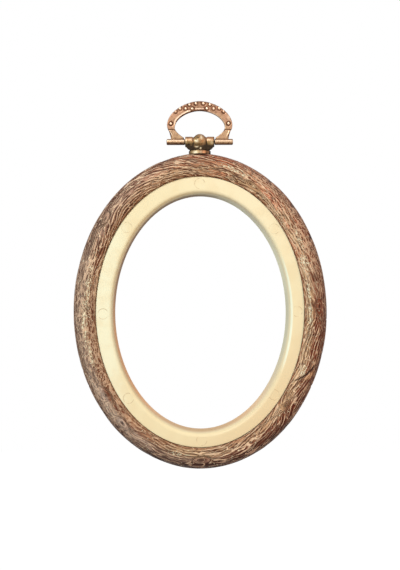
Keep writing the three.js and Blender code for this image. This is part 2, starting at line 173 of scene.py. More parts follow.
def grid_mesh(name, points, values, capped=False):
    """A smooth mesh of quads on a grid of points, each row of which is a closed round.

    The last row joins the first, or else both are capped. values holds named numbers or vectors
    for each point.
    """
    rows, columns = points.shape[:2]
    i = np.arange(rows - 1 if capped else rows)[:, None]
    j = np.arange(columns)[None, :]
    row, next_row, next_j = i * columns, (i + 1) % rows * columns, (j + 1) % columns
    corners = [row + j, row + next_j, next_row + next_j, next_row + j]
    faces = np.stack(corners, axis=-1).reshape(-1, 4).tolist()
    if capped:
        faces.append(list(range(columns))[::-1])
        faces.append([(rows - 1) * columns + k for k in range(columns)])
    mesh = bpy.data.meshes.new(name)
    mesh.from_pydata(points.reshape(-1, 3).tolist(), [], faces)
    for label, numbers in values.items():
        vector = numbers.ndim == 3
        layer = mesh.attributes.new(label, "FLOAT_VECTOR" if vector else "FLOAT", "POINT")
        layer.data.foreach_set("vector" if vector else "value", numbers.astype(np.float32).ravel())
    mesh.shade_smooth()
    return placed(name, mesh)


class Signal:
    """What one output of a shader node carries. Sums and products of it add maths nodes."""

    def __init__(self, tree, socket):
        self.tree, self.socket = tree, socket

    def maths(self, operation, *others, clamp=False):
        terms = dict(enumerate((self, *others)))
        return add_node(self.tree, "Math", terms, operation=operation, use_clamp=clamp)

    def __add__(self, other):
        return self.maths("ADD", other)

    def __sub__(self, other):
        return self.maths("SUBTRACT", other)

    def __mul__(self, other):
        return self.maths("MULTIPLY", other)

    def __abs__(self):
        return self.maths("ABSOLUTE")


def feed(node, inputs):
    """Wire each named input to its signal, or set it to its number or colour."""
    for name, value in inputs.items():
        if isinstance(value, Signal):
            value.tree.links.new(value.socket, node.inputs[name])
        else:
            node.inputs[name].default_value = value


def add_node(tree, kind, inputs=None, output=0, **settings):
    """One output of a new shader node that has these settings and inputs."""
    node = tree.nodes.new("ShaderNode" + kind)
    for name, value in settings.items():
        setattr(node, name, value)
    feed(node, inputs or {})
    return Signal(tree, node.outputs[output])


def larger(first, second):
    return first.maths("MAXIMUM", second)


def between(value, low, high, out_low=0.0, out_high=1.0):
    """Smooth step of a value from low to high."""
    inputs = dict(enumerate((value, low, high, out_low, out_high)))
    return add_node(value.tree, "MapRange", inputs, interpolation_type="SMOOTHSTEP")


def paint(red, green, blue):
    """A colour as it is seen, in 0 to 255, turned into the linear numbers that a shader takes."""
    seen = np.array([red, green, blue]) / 255
    linear = np.where(seen <= 0.04045, seen / 12.92, ((seen + 0.055) / 1.055) ** 2.4)
    return (*linear.tolist(), 1.0)


def mixed(share, first, second, blend="MIX"):
    """A mix of two colours, each given as a signal or as it is seen."""
    first, second = (c if isinstance(c, Signal) else paint(*c) for c in (first, second))
    inputs = {0: share, 6: first, 7: second}
    return add_node(share.tree, "Mix", inputs, 2, data_type="RGBA", blend_type=blend)


def layered(colour, *coats):
    """A colour under coats of others, each given as (share, colour)."""
    for share, coat in coats:
        colour = mixed(share, colour, coat)
    return colour


def noise(place, scale, detail=2.0, output="Fac"):
    inputs = {"Vector": place, "Scale": scale, "Detail": detail}
    return add_node(place.tree, "TexNoise", inputs, output)


def stretched(place, scale, moved=0.0):
    """A place with each of its numbers scaled, and then all moved by the same amount."""
    inputs = {"Vector": place, "Scale": scale, "Location": (moved, moved, moved)}
    return add_node(place.tree, "Mapping", inputs)


def named_value(tree, name, output="Fac"):
    return add_node(tree, "Attribute", output=output, attribute_name=name)


def object_place(tree):
    return add_node(tree, "TexCoord", output="Object")


def new_material(name):
    material = bpy.data.materials.new(name)
    material.use_nodes = True
    tree = material.node_tree
    return material, tree, tree.nodes["Principled BSDF"]


def bumped(height, distance, strength=1.0):
    """The normal of a surface that carries this height."""
    inputs = {"Strength": strength, "Distance": distance, "Height": height}
    return add_node(height.tree, "Bump", inputs)


def towards(place, right, up, low, high):
    """Smooth step, from low to high, of how far a point lies from the hoop's centre one way."""
    inputs = {0: place, 1: (right, 0, up)}
    way = add_node(place.tree, "VectorMath", inputs, "Value", operation="DOT_PRODUCT")
    return between(way, up * HOOP_CENTRE_Z + low, up * HOOP_CENTRE_Z + high)


inner_outside = -SEAM_GAP / 2
face_end = inner_outside - FACE_WIDTH
inner_front, inner_back = inner_low.y, inner_high.y
bore_back = face_end - BORE_LEAN
web_y = inner_front + INNER_WEB
web_share = INNER_WEB / (inner_back - inner_front)
inner_section = filleted_loop(
    [
        (inner_outside, inner_front),
        (inner_outside, inner_back - LIP_THICKNESS),
        (LIP_REACH, inner_back - LIP_THICKNESS),
        (LIP_REACH, inner_back),
        (inner_outside - INNER_WALL, inner_back),
        (inner_outside - INNER_WALL, web_y),
        (face_end - BORE_LEAN * web_share + INNER_WALL, web_y),
        (bore_back + INNER_WALL, inner_back),
        (bore_back, inner_back),
        (face_end, inner_front),
    ],
    [*[MOULD_RADIUS] * 9, BORE_EDGE_RADIUS],
    FACE_SPACING,
    CORNER_STEPS,
)
inner_oval = seam_oval(INNER_STEPS)
depth_share = (inner_section[:, 1] - inner_front) / (inner_back - inner_front)
bore_half = eased(ramp(-inner_section[:, 0], BORE_SHIFT_START, BORE_SHIFT_FULL))
shift = np.outer(1 - depth_share, BORE_SHIFT_FRONT) + np.outer(depth_share, BORE_SHIFT_BACK)
section_round = np.repeat(inner_section[None], INNER_STEPS, axis=0)
section_round[..., 0] += bore_half * (inner_oval[1] @ shift.T)
inner_points = carried_round(section_round, inner_oval)

mark_points, mark_out = oval_at(np.radians(EJECTOR_MARK_DEGREES))
mark_centres = mark_points + (inner_outside + face_end) / 2 * mark_out
on_plan = inner_points[:, :, [0, 2]] - [0, HOOP_CENTRE_Z]
to_marks = np.linalg.norm(on_plan[:, :, None, :] - mark_centres, axis=-1).min(axis=-1) / MM
on_face = inner_points[:, :, 1] < inner_front + 0.01 * MM
mark_distance = np.where(on_face, to_marks, FAR_FROM_MARKS_MM)

# How deep a point lies in the bore, by which the material paints shade on its wall. It is 0 all
# over the rest.
on_bore = inner_section[:, 0] < face_end - BORE_LEAN * depth_share + INNER_WALL / 2
on_bore &= inner_section[:, 1] < inner_back - 0.3 * MOULD_RADIUS
depth = np.where(on_bore, inner_points[:, :, 1] - inner_front, 0) / MM
inner_ring = grid_mesh("inner_ring_moulding", inner_points, {"mark": mark_distance, "depth": depth})

cream_plastic, tree, shader = new_material("cream plastic")
place = object_place(tree)
mark, depth_in = named_value(tree, "mark"), named_value(tree, "depth")
mark_line = between(abs(mark - EJECTOR_MARK_RADIUS_MM), 0.06, 0.26, 1.0, 0.0)
mark_line *= between(noise(place, 620), 0.36, 0.6)
mark_floor = between(mark, EJECTOR_MARK_RADIUS_MM - 0.2, EJECTOR_MARK_RADIUS_MM + 0.1)
# A painted highlight on the rounded inner edge on the right side, where it turns towards the light.
painted_edge_highlight = between(depth_in, 0.0, 0.12) * between(depth_in, 0.9, 0.4)
painted_edge_highlight *= towards(place, 1, 0, 0.0315, 0.035)
# The bore wall is painted in light and shade: tan, grey-green over the right and upper half where
# it faces the light, pale at its far right, browner at the bottom, and deep brown further in at the
# upper left.
painted_deep_bore_shade = between(depth_in, 0.8, 5.5) * towards(place, -0.7, 0.7, 0.016, 0.036)
painted_bore_light_and_shade = layered(
    (242, 184, 132),
    (towards(place, 1, 0.8, -0.03, 0.03), (206, 204, 172)),
    (towards(place, 1, 0.8, 0.034, 0.05), (252, 250, 214)),
    (towards(place, 0, -1, 0.034, 0.05), (190, 150, 104)),
    (painted_deep_bore_shade * 0.95, (110, 70, 40)),
)
# The face is painted paler on the left and the upper right and darker and more orange at the lower
# right, as painted light and shade; the mottle and the ejector marks are the plastic's own. The
# painted edge highlight and the bore's painted light and shade go on top.
body_colour = layered(
    (250, 236, 191),
    (towards(place, -1, 0, 0.026, 0.036), (253, 249, 212)),
    (towards(place, 0.6, 0.8, 0.03, 0.05), (255, 241, 199)),
    (towards(place, 0.7, -0.7, 0.02, 0.058), (241, 215, 168)),
    (between(noise(place, 150), 0.4, 0.65) * 0.35, (243, 222, 174)),
    (mark_line * 0.5, (196, 168, 124)),
    (painted_edge_highlight, (255, 255, 224)),
    (between(depth_in, 0.7, 5.0) * 0.85, painted_bore_light_and_shade),
)
matt = between(depth_in, 0.2, 1.5) * towards(place, -0.9, 0.3, -0.01, 0.02)
feed(
    shader,
    {
        "Base Color": body_colour,
        "Roughness": 0.42,
        "Specular IOR Level": between(matt, 0.0, 1.0, 0.2, 0.03),
        "Normal": bumped(noise(place, 1500) * 0.12 + mark_floor, 0.06 * MM, 0.7),
    },
)
inner_ring.data.materials.append(cream_plastic)
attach(inner_ring, "inner_ring")
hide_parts("inner_ring")

# Outer ring
# A soft vinyl moulding that is stretched over the inner ring. Its face is moulded as weathered
# wood, with lines that run round it, knots and chips, stained dark and rubbed pale on the ridges.

OUTER_STEPS = 1000
OUTER_WIDTH = 9.2 * MM
BOTTOM_NARROWING = 0.5 * MM
CREST_U = 4.4 * MM
WIDEST_Y = 0.8 * MM
SEAM_EDGE_Y = -3.4 * MM
REBATE_Y = 2.9 * MM
REBATE_EDGE = 0.1 * MM
INNER_DOME_STEPS, OUTER_DOME_STEPS, BACK_STEPS = 22, 40, 23
FRONT_ROUNDNESS = 2.0
BACK_ROUNDNESS = 3.2
SADDLE_ROUNDNESS = 4.2
SADDLE_REACH = 7 * MM
SEAT_DEPTH = 0.83 * MM
SEAT_RADIUS = 4.55 * MM
LINE_PITCH_MM = 0.94
PALE_LINE_LAG = 2.5
CELL_STRETCH = (0.31, 0.31, 0.98)
CELL_WOBBLE = (1.0, 1.0, 1.8)

# Knots: degrees round the oval from +X, distance from the seam, half length and half width (mm)
KNOTS = [
    (214.6, 4.2, 3.4, 1.5), (229.5, 5.2, 3.0, 1.3), (271.0, 5.0, 3.4, 1.2), (141.0, 6.4, 2.6, 1.1),
    (62.0, 3.0, 2.8, 1.0), (3.0, 6.2, 3.0, 1.2), (318.0, 3.2, 2.6, 1.1),
]
# Rubbed places where the pale ground shows and where the painted glints gather, given the same way
BARE_AND_GLINT_PATCHES = [
    (19.9, 3.1, 4.2, 1.5), (336.3, 3.3, 3.4, 1.3), (259.0, 3.6, 4.2, 1.1), (172.0, 3.8, 12.0, 1.1),
    (72.0, 5.2, 6.0, 1.0), (196.0, 4.0, 6.0, 0.9), (0.0, 2.5, 14.0, 0.9), (184.0, 5.0, 9.0, 1.0),
    (30.0, 4.0, 5.0, 1.0),
]
# Chips out of the outer edge: degrees, half length (mm), depth (mm)
CHIPS = [
    (104.8, 1.6, 0.3), (57.2, 1.1, 0.3), (43.4, 1.4, 0.35), (29.0, 1.1, 0.3), (312.0, 1.4, 0.35),
    (247.0, 1.2, 0.25),
]
OUTER_EDGE_MM, CHIP_HALF_WIDTH_MM = 10.8, 1.5
# Cut branch, a furrow that runs aslant: degrees, distance from the seam, half length, slope across
# per length, half width, depth (mm)
BRANCH_CUT = (334.0, 4.9, 4.8, 0.73, 0.36, 0.4)

outer_low, outer_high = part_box("outer_ring")
outer_front, outer_back = outer_low.y, outer_high.y


def falloff(distance, reach):
    """A Gaussian, 1 where there is no distance and 1/e at reach."""
    return np.exp(-((distance / reach) ** 2))


def outer_sections(oval):
    """The outer ring's section at each step, as [u, y].

    The front is an elliptic dome that falls steeper to the seam than to the outside, the back is
    a superellipse, and both grow squarer near the ferrule. A rebate at the back takes the lip.
    """
    points = oval[0]
    from_top = np.hypot(points[:, 0], SEAM_HALF_HEIGHT - points[:, 1])
    saddle = falloff(from_top, SADDLE_REACH)[:, None]
    front_power = FRONT_ROUNDNESS + (SADDLE_ROUNDNESS - FRONT_ROUNDNESS) * saddle
    back_power = BACK_ROUNDNESS + (SADDLE_ROUNDNESS - BACK_ROUNDNESS) * saddle
    down_the_ring = (1 - points[:, 1] / SEAM_HALF_HEIGHT)[:, None] / 2
    reach = OUTER_WIDTH - BOTTOM_NARROWING * down_the_ring**3 - CREST_U
    dome, back = WIDEST_Y - outer_front, outer_back - WIDEST_Y
    wall = SEAM_GAP / 2
    seam_share = (WIDEST_Y - SEAM_EDGE_Y) / dome
    inner_reach = (CREST_U - wall) / math.sqrt(1 - seam_share**2)
    u = np.linspace(wall, CREST_U, INNER_DOME_STEPS, endpoint=False)
    rise = dome * np.sqrt(1 - ((CREST_U - u) / inner_reach) ** 2)
    inner_dome = np.stack([u, WIDEST_Y - rise], -1)

    def quarter(turn, power, height):
        across, up = (wave(turn) ** (2 / power) for wave in (np.sin, np.cos))
        return np.stack([CREST_U + reach * across, WIDEST_Y + height * up], -1)

    outer_dome = quarter(np.linspace(0, np.pi / 2, OUTER_DOME_STEPS), front_power, -dome)
    back_round = quarter(np.linspace(np.pi / 2, 0, BACK_STEPS + 1)[1:], back_power, back)
    rebate_u = LIP_REACH + LIP_GAP
    rebate = [
        (rebate_u + 6 * REBATE_EDGE, outer_back),
        (rebate_u + REBATE_EDGE, outer_back),
        (rebate_u, outer_back - REBATE_EDGE),
        (rebate_u, REBATE_Y + REBATE_EDGE),
        (rebate_u - REBATE_EDGE, REBATE_Y),
        (wall + REBATE_EDGE, REBATE_Y),
        (wall, REBATE_Y - REBATE_EDGE),
        (wall, WIDEST_Y),
        (wall, (WIDEST_Y + SEAM_EDGE_Y) / 2),
        (wall, SEAM_EDGE_Y + REBATE_EDGE),
    ]
    inner_dome, rebate = (np.repeat([part], len(points), 0) for part in (inner_dome, rebate))
    return np.concatenate([inner_dome, outer_dome, back_round, rebate], axis=1)


def wandering(across, cells_along, cells_across, seed):
    """Smooth noise from -0.5 to 0.5 that repeats once round the ring.

    Random numbers stand on a lattice of cells_along by cells_across, and each point takes the
    four round it, weighted by an eased share of the way between them.
    """
    lattice = np.random.default_rng(seed).random((cells_along, cells_across + 2)) - 0.5
    a = around * cells_along
    b = np.clip(across, 0, 0.9999) * cells_across
    a0, b0 = a.astype(int), b.astype(int)
    fa, fb = eased(a - a0), eased(b - b0)
    a1 = (a0 + 1) % cells_along
    low = lattice[a0, b0] * (1 - fa) + lattice[a1, b0] * fa
    high = lattice[a0, b0 + 1] * (1 - fa) + lattice[a1, b0 + 1] * fa
    return low * (1 - fb) + high * fb


outer_oval = seam_oval(OUTER_STEPS)
outer_section = outer_sections(outer_oval)
steps_across = np.linalg.norm(np.diff(outer_section, axis=1), axis=-1)
across_mm = np.pad(np.cumsum(steps_across, axis=1), ((0, 0), (1, 0))) / MM
around = (outer_oval[3] / outer_oval[4])[:, None]
angle = outer_oval[2][:, None]
mid_radius = np.hypot(SEAM_HALF_WIDTH * np.sin(angle), SEAM_HALF_HEIGHT * np.cos(angle))
mid_radius_mm = mid_radius * (1 + CREST_U / SEAM_HALF_WIDTH) / MM
across_share = across_mm / across_mm.max()


def ring_spot(degrees, offset, half_length, half_width, moved=0):
    """How far points lie from a spot on the face: along, across (mm), and in its half sizes."""
    turn = (angle - math.radians(degrees) + np.pi) % (2 * np.pi) - np.pi
    ds, dv = turn * mid_radius_mm + moved, across_mm - offset
    return ds, dv, np.hypot(ds / half_length, dv / half_width)


# The grain coordinate is the distance across the ring (mm), bent by slow wandering, so that its
# lines drift from the seam to the outer edge. In a knot it is the distance from the knot's heart.
bend = (
    8.0 * wandering(np.zeros_like(across_share), 9, 1, 1)
    + 1.7 * wandering(across_share, 26, 3, 2)
    + 0.5 * wandering(across_share, 90, 12, 3)
)
grain = across_mm + bend
knot_share = np.zeros_like(grain)
knot_core = np.zeros_like(grain)
for degrees, offset, half_length, half_width in KNOTS:
    moved = half_length * wandering(across_share, 60, 12, 4)
    _, dv, size = ring_spot(degrees, offset, half_length, half_width, moved)
    grain = grain + 1.5 * half_width * np.tanh(dv / half_width) * falloff(size, 2)
    inside = 1 / (1 + np.exp((size - 1.15) / 0.12))
    grain = grain * (1 - inside) + (offset + 1.7 * size * half_width) * inside
    knot_share = np.maximum(knot_share, inside)
    knot_core = np.maximum(knot_core, falloff(size, 0.3))

bare_and_glint = np.zeros_like(grain)
ragged = 1.1 * wandering(across_share, 200, 40, 5)
for patch in BARE_AND_GLINT_PATCHES:
    bare_and_glint = np.maximum(bare_and_glint, 1.35 - ring_spot(*patch)[2] + ragged)
bare_and_glint = np.clip(bare_and_glint, 0, 1)

grain_share = np.clip((grain + 6) / 40, 0, 0.999)
face_share = ramp(across_mm, 0.2, 1.2) * ramp(across_mm, 16, 12)
furrow = falloff(wandering(grain_share, 50, 36, 6), 0.055) * (1 - knot_share)
swell = wandering(grain_share, 34, 20, 8)
relief_mm = 0.2 * swell - 0.16 * furrow - 0.2 * knot_core
gouge = np.zeros_like(grain)
for degrees, half_length, depth in CHIPS:
    size = ring_spot(degrees, OUTER_EDGE_MM, half_length, CHIP_HALF_WIDTH_MM)[2]
    bite = np.clip(1.3 - size, 0, 1)
    gouge = np.maximum(gouge, bite)
    relief_mm -= depth * bite
degrees, offset, half_length, slope, half_width, depth = BRANCH_CUT
ds, dv, _ = ring_spot(degrees, offset, half_length, half_width)
from_cut = (dv - slope * ds + 0.03 * ds**2) / math.hypot(1, slope)
notch = falloff(from_cut, half_width) * np.clip(3 * (1 - np.abs(ds) / half_length), 0, 1)
gouge = np.maximum(gouge, notch)
relief_mm -= depth * notch
relief_mm *= face_share
cut_face = np.clip(2 - 2 * np.abs(from_cut - 1.3), 0, 1)
cut_face *= np.clip(1.6 - np.abs(ds - 0.4) / 1.8, 0, 1)

outer_points = carried_round(outer_section, outer_oval)
ahead = np.roll(outer_points, -1, axis=0) - np.roll(outer_points, 1, axis=0)
sideways = np.roll(outer_points, -1, axis=1) - np.roll(outer_points, 1, axis=1)
outwards = np.cross(sideways, ahead)
outwards /= np.linalg.norm(outwards, axis=-1, keepdims=True)
outer_points = outer_points + outwards * (relief_mm * MM)[..., None]

# The ferrule stands in a flat round seat that is pressed into the top.
seat_z = HOOP_CENTRE_Z + SEAM_HALF_HEIGHT + OUTER_WIDTH - SEAT_DEPTH
x, y, z = np.moveaxis(outer_points, -1, 0)
outer_points[..., 2] = np.where(np.hypot(x, y) < SEAT_RADIUS, np.minimum(z, seat_z), z)

# The shader's noises are drawn over a cylinder as long round as the ring, so they have no seam.
ring_radius_mm = outer_oval[4] / MM / (2 * np.pi)
circle = [ring_radius_mm * wave(2 * np.pi * around) for wave in (np.cos, np.sin)]
grain_place = np.stack(np.broadcast_arrays(*circle, grain), axis=-1)
# wear holds furrow, bare patch and gouge. lie holds the distance across, knot and cut face.
wear = np.stack([furrow * face_share, bare_and_glint, np.maximum(gouge, knot_core)], axis=-1)
lie = np.stack([across_mm, knot_share, cut_face], axis=-1)
outer_values = {"grain": grain_place, "wear": wear, "lie": lie}
outer_ring = grid_mesh("outer_ring_moulding", outer_points, outer_values)


def parts(vector):
    """The three numbers of a vector."""
    return [add_node(vector.tree, "SeparateXYZ", {0: vector}, k) for k in range(3)]


wood_vinyl, tree, shader = new_material("wood-grain vinyl")
place = object_place(tree)
grain_at = named_value(tree, "grain", "Vector")
grain_across = parts(grain_at)[2]
furrow_in, bare_and_glint_in, gouge_in = parts(named_value(tree, "wear", "Vector"))
across_in, knot_in, cut_in = parts(named_value(tree, "lie", "Vector"))


def along_grain(length_mm, width_mm, moved=0.0, detail=1.0):
    """Noise drawn out along the grain, from about -0.3 to 0.3."""
    scale = (1 / length_mm, 1 / length_mm, 1 / width_mm)
    return noise(stretched(grain_at, scale, moved), 1.0, detail) - 0.5


# Lines of the moulding: the sine of the grain coordinate over the pitch, bent by three noises. The
# shortest bend is small where the lines run long, and large where they curl like worm tracks, on
# the left and the upper right. Each dark line has a pale one beside it, on the ridge; the pair is
# partly the moulding's stain and rubbing and partly painted shade and highlight of the ridge in the
# light, and noises make both come and go.
upper_right = towards(place, 0.86, 0.5, 0.038, 0.052)
wormy = larger(towards(place, -1, -0.3, 0.034, 0.047) * 0.78, upper_right * 0.65)
curl = between(along_grain(14, 5, 31.0), -0.06, 0.12, 0.5, 3.0) + wormy * 2.6
line_phase = (
    grain_across * (2 * math.pi / LINE_PITCH_MM)
    + along_grain(18, 4) * 9.0
    + along_grain(7, 3.2, 9.0) * 5.0
    + along_grain(2.4, 1.4, 5.0) * curl * 3.0
)
dark_strength = between(along_grain(4.5, 1.1, 23.0), -0.12, 0.04, 0.2, 1.0)
pale_strength = between(along_grain(3.4, 1.1, 41.0), -0.1, 0.06, 0.15, 1.0)
dark_wave = between(line_phase.maths("SINE"), 0.2, 0.75)
pale_wave = between((line_phase + PALE_LINE_LAG).maths("SINE"), 0.3, 0.85)
dark_thread = between(abs(along_grain(10, 1.8, 71.0)), 0.03, 0.012)
pale_thread = between(abs(along_grain(9, 1.8, 61.0)), 0.03, 0.012)
dark_line = larger(dark_wave * dark_strength, dark_thread)
pale_line = larger(pale_wave * pale_strength, pale_thread)
fibre = along_grain(2.2, 0.22, 3.0, 3)
mottle = along_grain(16, 2.2, 13.0, 1.5)
# Painted glints: bright specks where the ridges would catch the light, most of them in the bare
# patches.
painted_glint = between(along_grain(0.8, 0.42, 53.0) + bare_and_glint_in * 0.2, 0.19, 0.23)

# Worm tracks: the face is cut into small cells drawn out along the grain, with pale ridges between
# them and a dark ditch inside each.
cell_place = add_node(
    tree,
    "VectorMath",
    {0: noise(grain_at, 0.5, 1.0, "Color"), 1: CELL_WOBBLE, 2: stretched(grain_at, CELL_STRETCH)},
    operation="MULTIPLY_ADD",
)
cells = {"Vector": cell_place, "Scale": 1.0}
to_ridge = add_node(tree, "TexVoronoi", cells, "Distance", feature="DISTANCE_TO_EDGE")
ridge = between(to_ridge, 0.13, 0.05) * wormy
ditch = between(abs(to_ridge - 0.25), 0.13, 0.05) * wormy
plain_share = wormy * -0.45 + 1.0
pale_line = larger(pale_line * plain_share, ridge) * between(knot_in, 0.1, 0.9, 1.0, 0.25)
dark_line = larger(dark_line * plain_share, ditch * 0.85)

# Zones of the ring, which its stains, wear and painted light and shade follow.
rightness = towards(place, 0.95, 0.3, -0.045, 0.035)
right_low = towards(place, 0.7, -0.7, 0.0, 0.03)
leftness = towards(place, -1, 0, 0.02, 0.045)
left_half = towards(place, -1, -0.35, -0.02, 0.03)
left_seam = towards(place, -1, -0.25, 0.015, 0.04)
left_low = towards(place, -0.8, -0.6, 0.01, 0.05)
left_low_face = towards(place, -0.7, -0.72, 0.041, 0.054)
highness = towards(place, 0.5, 0.85, 0.012, 0.058)
lowness = towards(place, 0, -1, 0.026, 0.062)
bottom = towards(place, 0, -1, 0.046, 0.058)
crest = between(abs(across_in - 5.5), 4.5, 1.0)
seam_side = between(abs(across_in - 2.4), 2.6, 1.0)
outside = between(across_in, 3.5, 10.0)

# Painted light on the crest of the dome, strongest on the left, the top and the lower left, tan on
# the right half and greyer on the left.
crest_light_share = crest * (left_half * 0.46 + highness * 0.63 + left_low_face * 0.6 + 0.03)
crest_light_colour = mixed(left_half, (236, 176, 132), (222, 199, 178))
rosy = between(mottle, 0.0, -0.1) * towards(place, 0.7, 0.7, 0.03, 0.055)
# The ground is painted greyer on the left and redder on the right, for the cool light on the left
# and the warm light on the right.
ground = layered(
    mixed(rightness, (154, 112, 84), (178, 98, 66)),
    (crest_light_share, crest_light_colour),
    # Painted light and shade by the seam: paler on the right and the bottom, where the slope faces
    # the light, and darker on the left, where it turns away.
    (seam_side * larger(rightness, bottom) * 0.85, (226, 190, 142)),
    (seam_side * left_seam * 0.9, (130, 72, 44)),
    (between(mottle, -0.02, 0.14) * 0.3, (140, 80, 50)),
    (between(mottle, -0.04, -0.16) * 0.3, (230, 182, 138)),
    (rosy * 0.85, (222, 118, 80)),
    (between(fibre, 0.04, 0.2) * 0.35, (118, 62, 36)),
    (bare_and_glint_in * 0.45, (224, 192, 150)),
)

# The outside, the bottom and the right are painted darker, as painted shade, and so are the lines
# there.
in_shade = lowness * 0.9 + rightness * 0.3 + leftness * 0.45 + upper_right * 0.18 + 0.2
shade = outside.maths("MULTIPLY", in_shade, clamp=True)
half_shade = between(across_in, 1.5, 5.0) * right_low
ground = mixed(shade, ground, (120, 94, 82), "MULTIPLY")
ground = mixed(half_shade, ground, (202, 191, 190), "MULTIPLY")

line_share = left_low * -0.36 + wormy * 0.2 + bottom * 0.26 + right_low * -0.12
line_share = line_share.maths("ADD", 0.88, clamp=True)
line_dark = mixed(left_half, (78, 22, 6), (74, 36, 20))
# Dark grain marks, only on the outer slope at the bottom, deepening its painted shade.
dark_mark = between(along_grain(2.6, 0.6, 83.0), 0.12, 0.17) * bottom * outside
wood_colour = layered(
    ground,
    (dark_line * line_share, mixed(shade, line_dark, (40, 18, 12))),
    (pale_line * line_share, mixed(shade, (255, 220, 180), (214, 174, 146))),
    # painted glints
    (painted_glint * 0.9, (255, 244, 206)),
    (cut_in * 0.7, (240, 188, 140)),
    (furrow_in * 0.5, (70, 30, 16)),
    # Painted shade along the seam, where the rings meet.
    (between(across_in, 0.9, 0.1) * 0.4, (134, 92, 56)),
    (gouge_in * 0.95, (44, 22, 16)),
    (dark_mark * 0.85, (34, 16, 10)),
)
relief = pale_line * 0.9 - dark_line * 0.9 + fibre * 0.9 + painted_glint * 0.5
feed(
    shader,
    {
        "Base Color": wood_colour,
        "Roughness": 0.5,
        "Specular IOR Level": 0.12,
        "Normal": bumped(relief, 0.2 * MM),
    },
)
outer_ring.data.materials.append(wood_vinyl)
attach(outer_ring, "hoop")
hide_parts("outer_ring")

# Ferrule
# A low turned collar in antique brass that stands in its seat on top of the outer ring. The
# head's spigot passes through it, and the fixing screw pulls both down.

TURN_STEPS = 112
FERRULE_BORE_RADIUS = 2.1 * MM
FERRULE_CORNER = 0.42 * MM
SHARP_CORNER = 0.05 * MM
TURNED_SPACING = 0.1 * MM

# Where plated faces are painted darker and brighter, seen from the front, each as (x, z, half
# width, half height, strength). On the ferrule these are painted reflections; x is in mm and z is a
# share of its height.
FERRULE_DARK_REFLECTIONS = [(-0.1, 0.6, 0.18, 1.0, 0.35), (2.9, 0.5, 0.35, 1.0, 0.4)]
FERRULE_BRIGHT_REFLECTIONS = [
    (-1.8, 0.5, 0.9, 0.25, 0.8), (0.5, 0.5, 0.6, 0.3, 0.25), (1.8, 0.5, 0.5, 0.3, 0.1),
]

ferrule_low, ferrule_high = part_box("ferrule")
pin_low, pin_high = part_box("hinge_pin")
PIN_Z = (pin_low.z + pin_high.z) / 2


def turned_shell(profile):
    """Points of a closed profile of [radius, height] turned about the Z axis through x = y = 0."""
    turn = np.arange(TURN_STEPS) * 2 * np.pi / TURN_STEPS
    r, h = profile[:, :1], np.broadcast_to(profile[:, 1:], (len(profile), TURN_STEPS))
    return np.stack([r * np.cos(turn), r * np.sin(turn), h], -1)


def joined_mesh(name, shells, capped=False):
    """One smooth mesh from several closed shells, each given as (points, values)."""
    made = [grid_mesh(name, *shell, capped=capped) for shell in shells]
    with bpy.context.temp_override(
        active_object=made[0], object=made[0], selected_objects=made, selected_editable_objects=made
    ):
        bpy.ops.object.join()
    made[0].name = made[0].data.name = name
    return made[0]


def plating_group():
    """Node group for antique plating: golden to red, dark with patina and painted shade,
    bright with rubbed wear and painted highlights.
    """
    group = bpy.data.node_groups.new("antique plating", "ShaderNodeTree")
    for way, kind, labels in [
        ("INPUT", "Vector", "Vector"),
        ("INPUT", "Color", "Golden Red Polished Stain"),
        ("INPUT", "Float", "Hollow Proud Warmth Age"),
        ("OUTPUT", "Color", "Color"),
        ("OUTPUT", "Float", "Roughness Height"),
    ]:
        for label in labels.split():
            group.interface.new_socket(name=label, in_out=way, socket_type="NodeSocket" + kind)
    sources = group.nodes.new("NodeGroupInput").outputs
    given = {socket.name: Signal(group, socket) for socket in sources}
    place, proud, age = given["Vector"], given["Proud"], given["Age"]
    grit = noise(place, 2600, 3)
    scratch = noise(stretched(place, (1, 1, 0.16)), 5200)
    warmth = given["Warmth"].maths("ADD", (noise(place, 420, 3) - 0.5) * 1.2, clamp=True)
    blot = between(noise(place, 1000), 0.4, 0.7) * age
    # The dark coat follows the mesh's patina and painted shade, random blots and grit; its rubbed
    # wear and painted highlights take it off.
    stain = larger(given["Hollow"].maths("ADD", blot, clamp=True), between(grit, 0.55, 0.7) * age)
    stain = stain.maths("SUBTRACT", proud, clamp=True)
    metal = mixed(warmth, given["Golden"], given["Red"])
    colour = layered(metal, (proud, given["Polished"]), (stain, given["Stain"]))
    rough = stain * 0.25 + 0.34 + scratch * 0.12
    result = group.nodes.new("NodeGroupOutput")
    feed(result, {"Color": colour, "Roughness": rough, "Height": grit * 0.5 + scratch})
    return group


antique_plating = plating_group()


def spots(x, z, places):
    """Sum of soft spots, each given as (x, z, half width, half height, strength).

    A spot is its strength times a Gaussian of the distances over its half sizes.
    """
    return sum(
        strength * np.exp(-(((x - at_x) / half_x) ** 2) - ((z - at_z) / half_z) ** 2)
        for at_x, at_z, half_x, half_z, strength in places
    )


def plated_material(name, age, **colours):
    """A metal that takes its colours from the plating group, and its wear, patina and painted
    light and shade from the mesh's values.
    """
    material, tree, shader = new_material(name)
    plating = tree.nodes.new("ShaderNodeGroup")
    plating.node_tree = antique_plating
    feed(plating, {"Vector": object_place(tree), "Age": age})
    feed(plating, {label.capitalize(): paint(*colour) for label, colour in colours.items()})
    for label in ("Hollow", "Proud", "Warmth"):
        feed(plating, {label: named_value(tree, label.lower())})
    colour, rough, height = (Signal(tree, socket) for socket in plating.outputs)
    normal = bumped(height, 0.02 * MM, 0.5)
    feed(shader, {"Base Color": colour, "Roughness": rough, "Metallic": 0.9, "Normal": normal})
    return material


# Its bright colour serves rubbed wear and painted highlights, its dark one patina and painted
# shade.
brass = plated_material(
    "antique brass",
    0.35,
    golden=(162, 132, 86),
    red=(178, 128, 90),
    polished=(255, 242, 208),
    stain=(54, 42, 30),
)

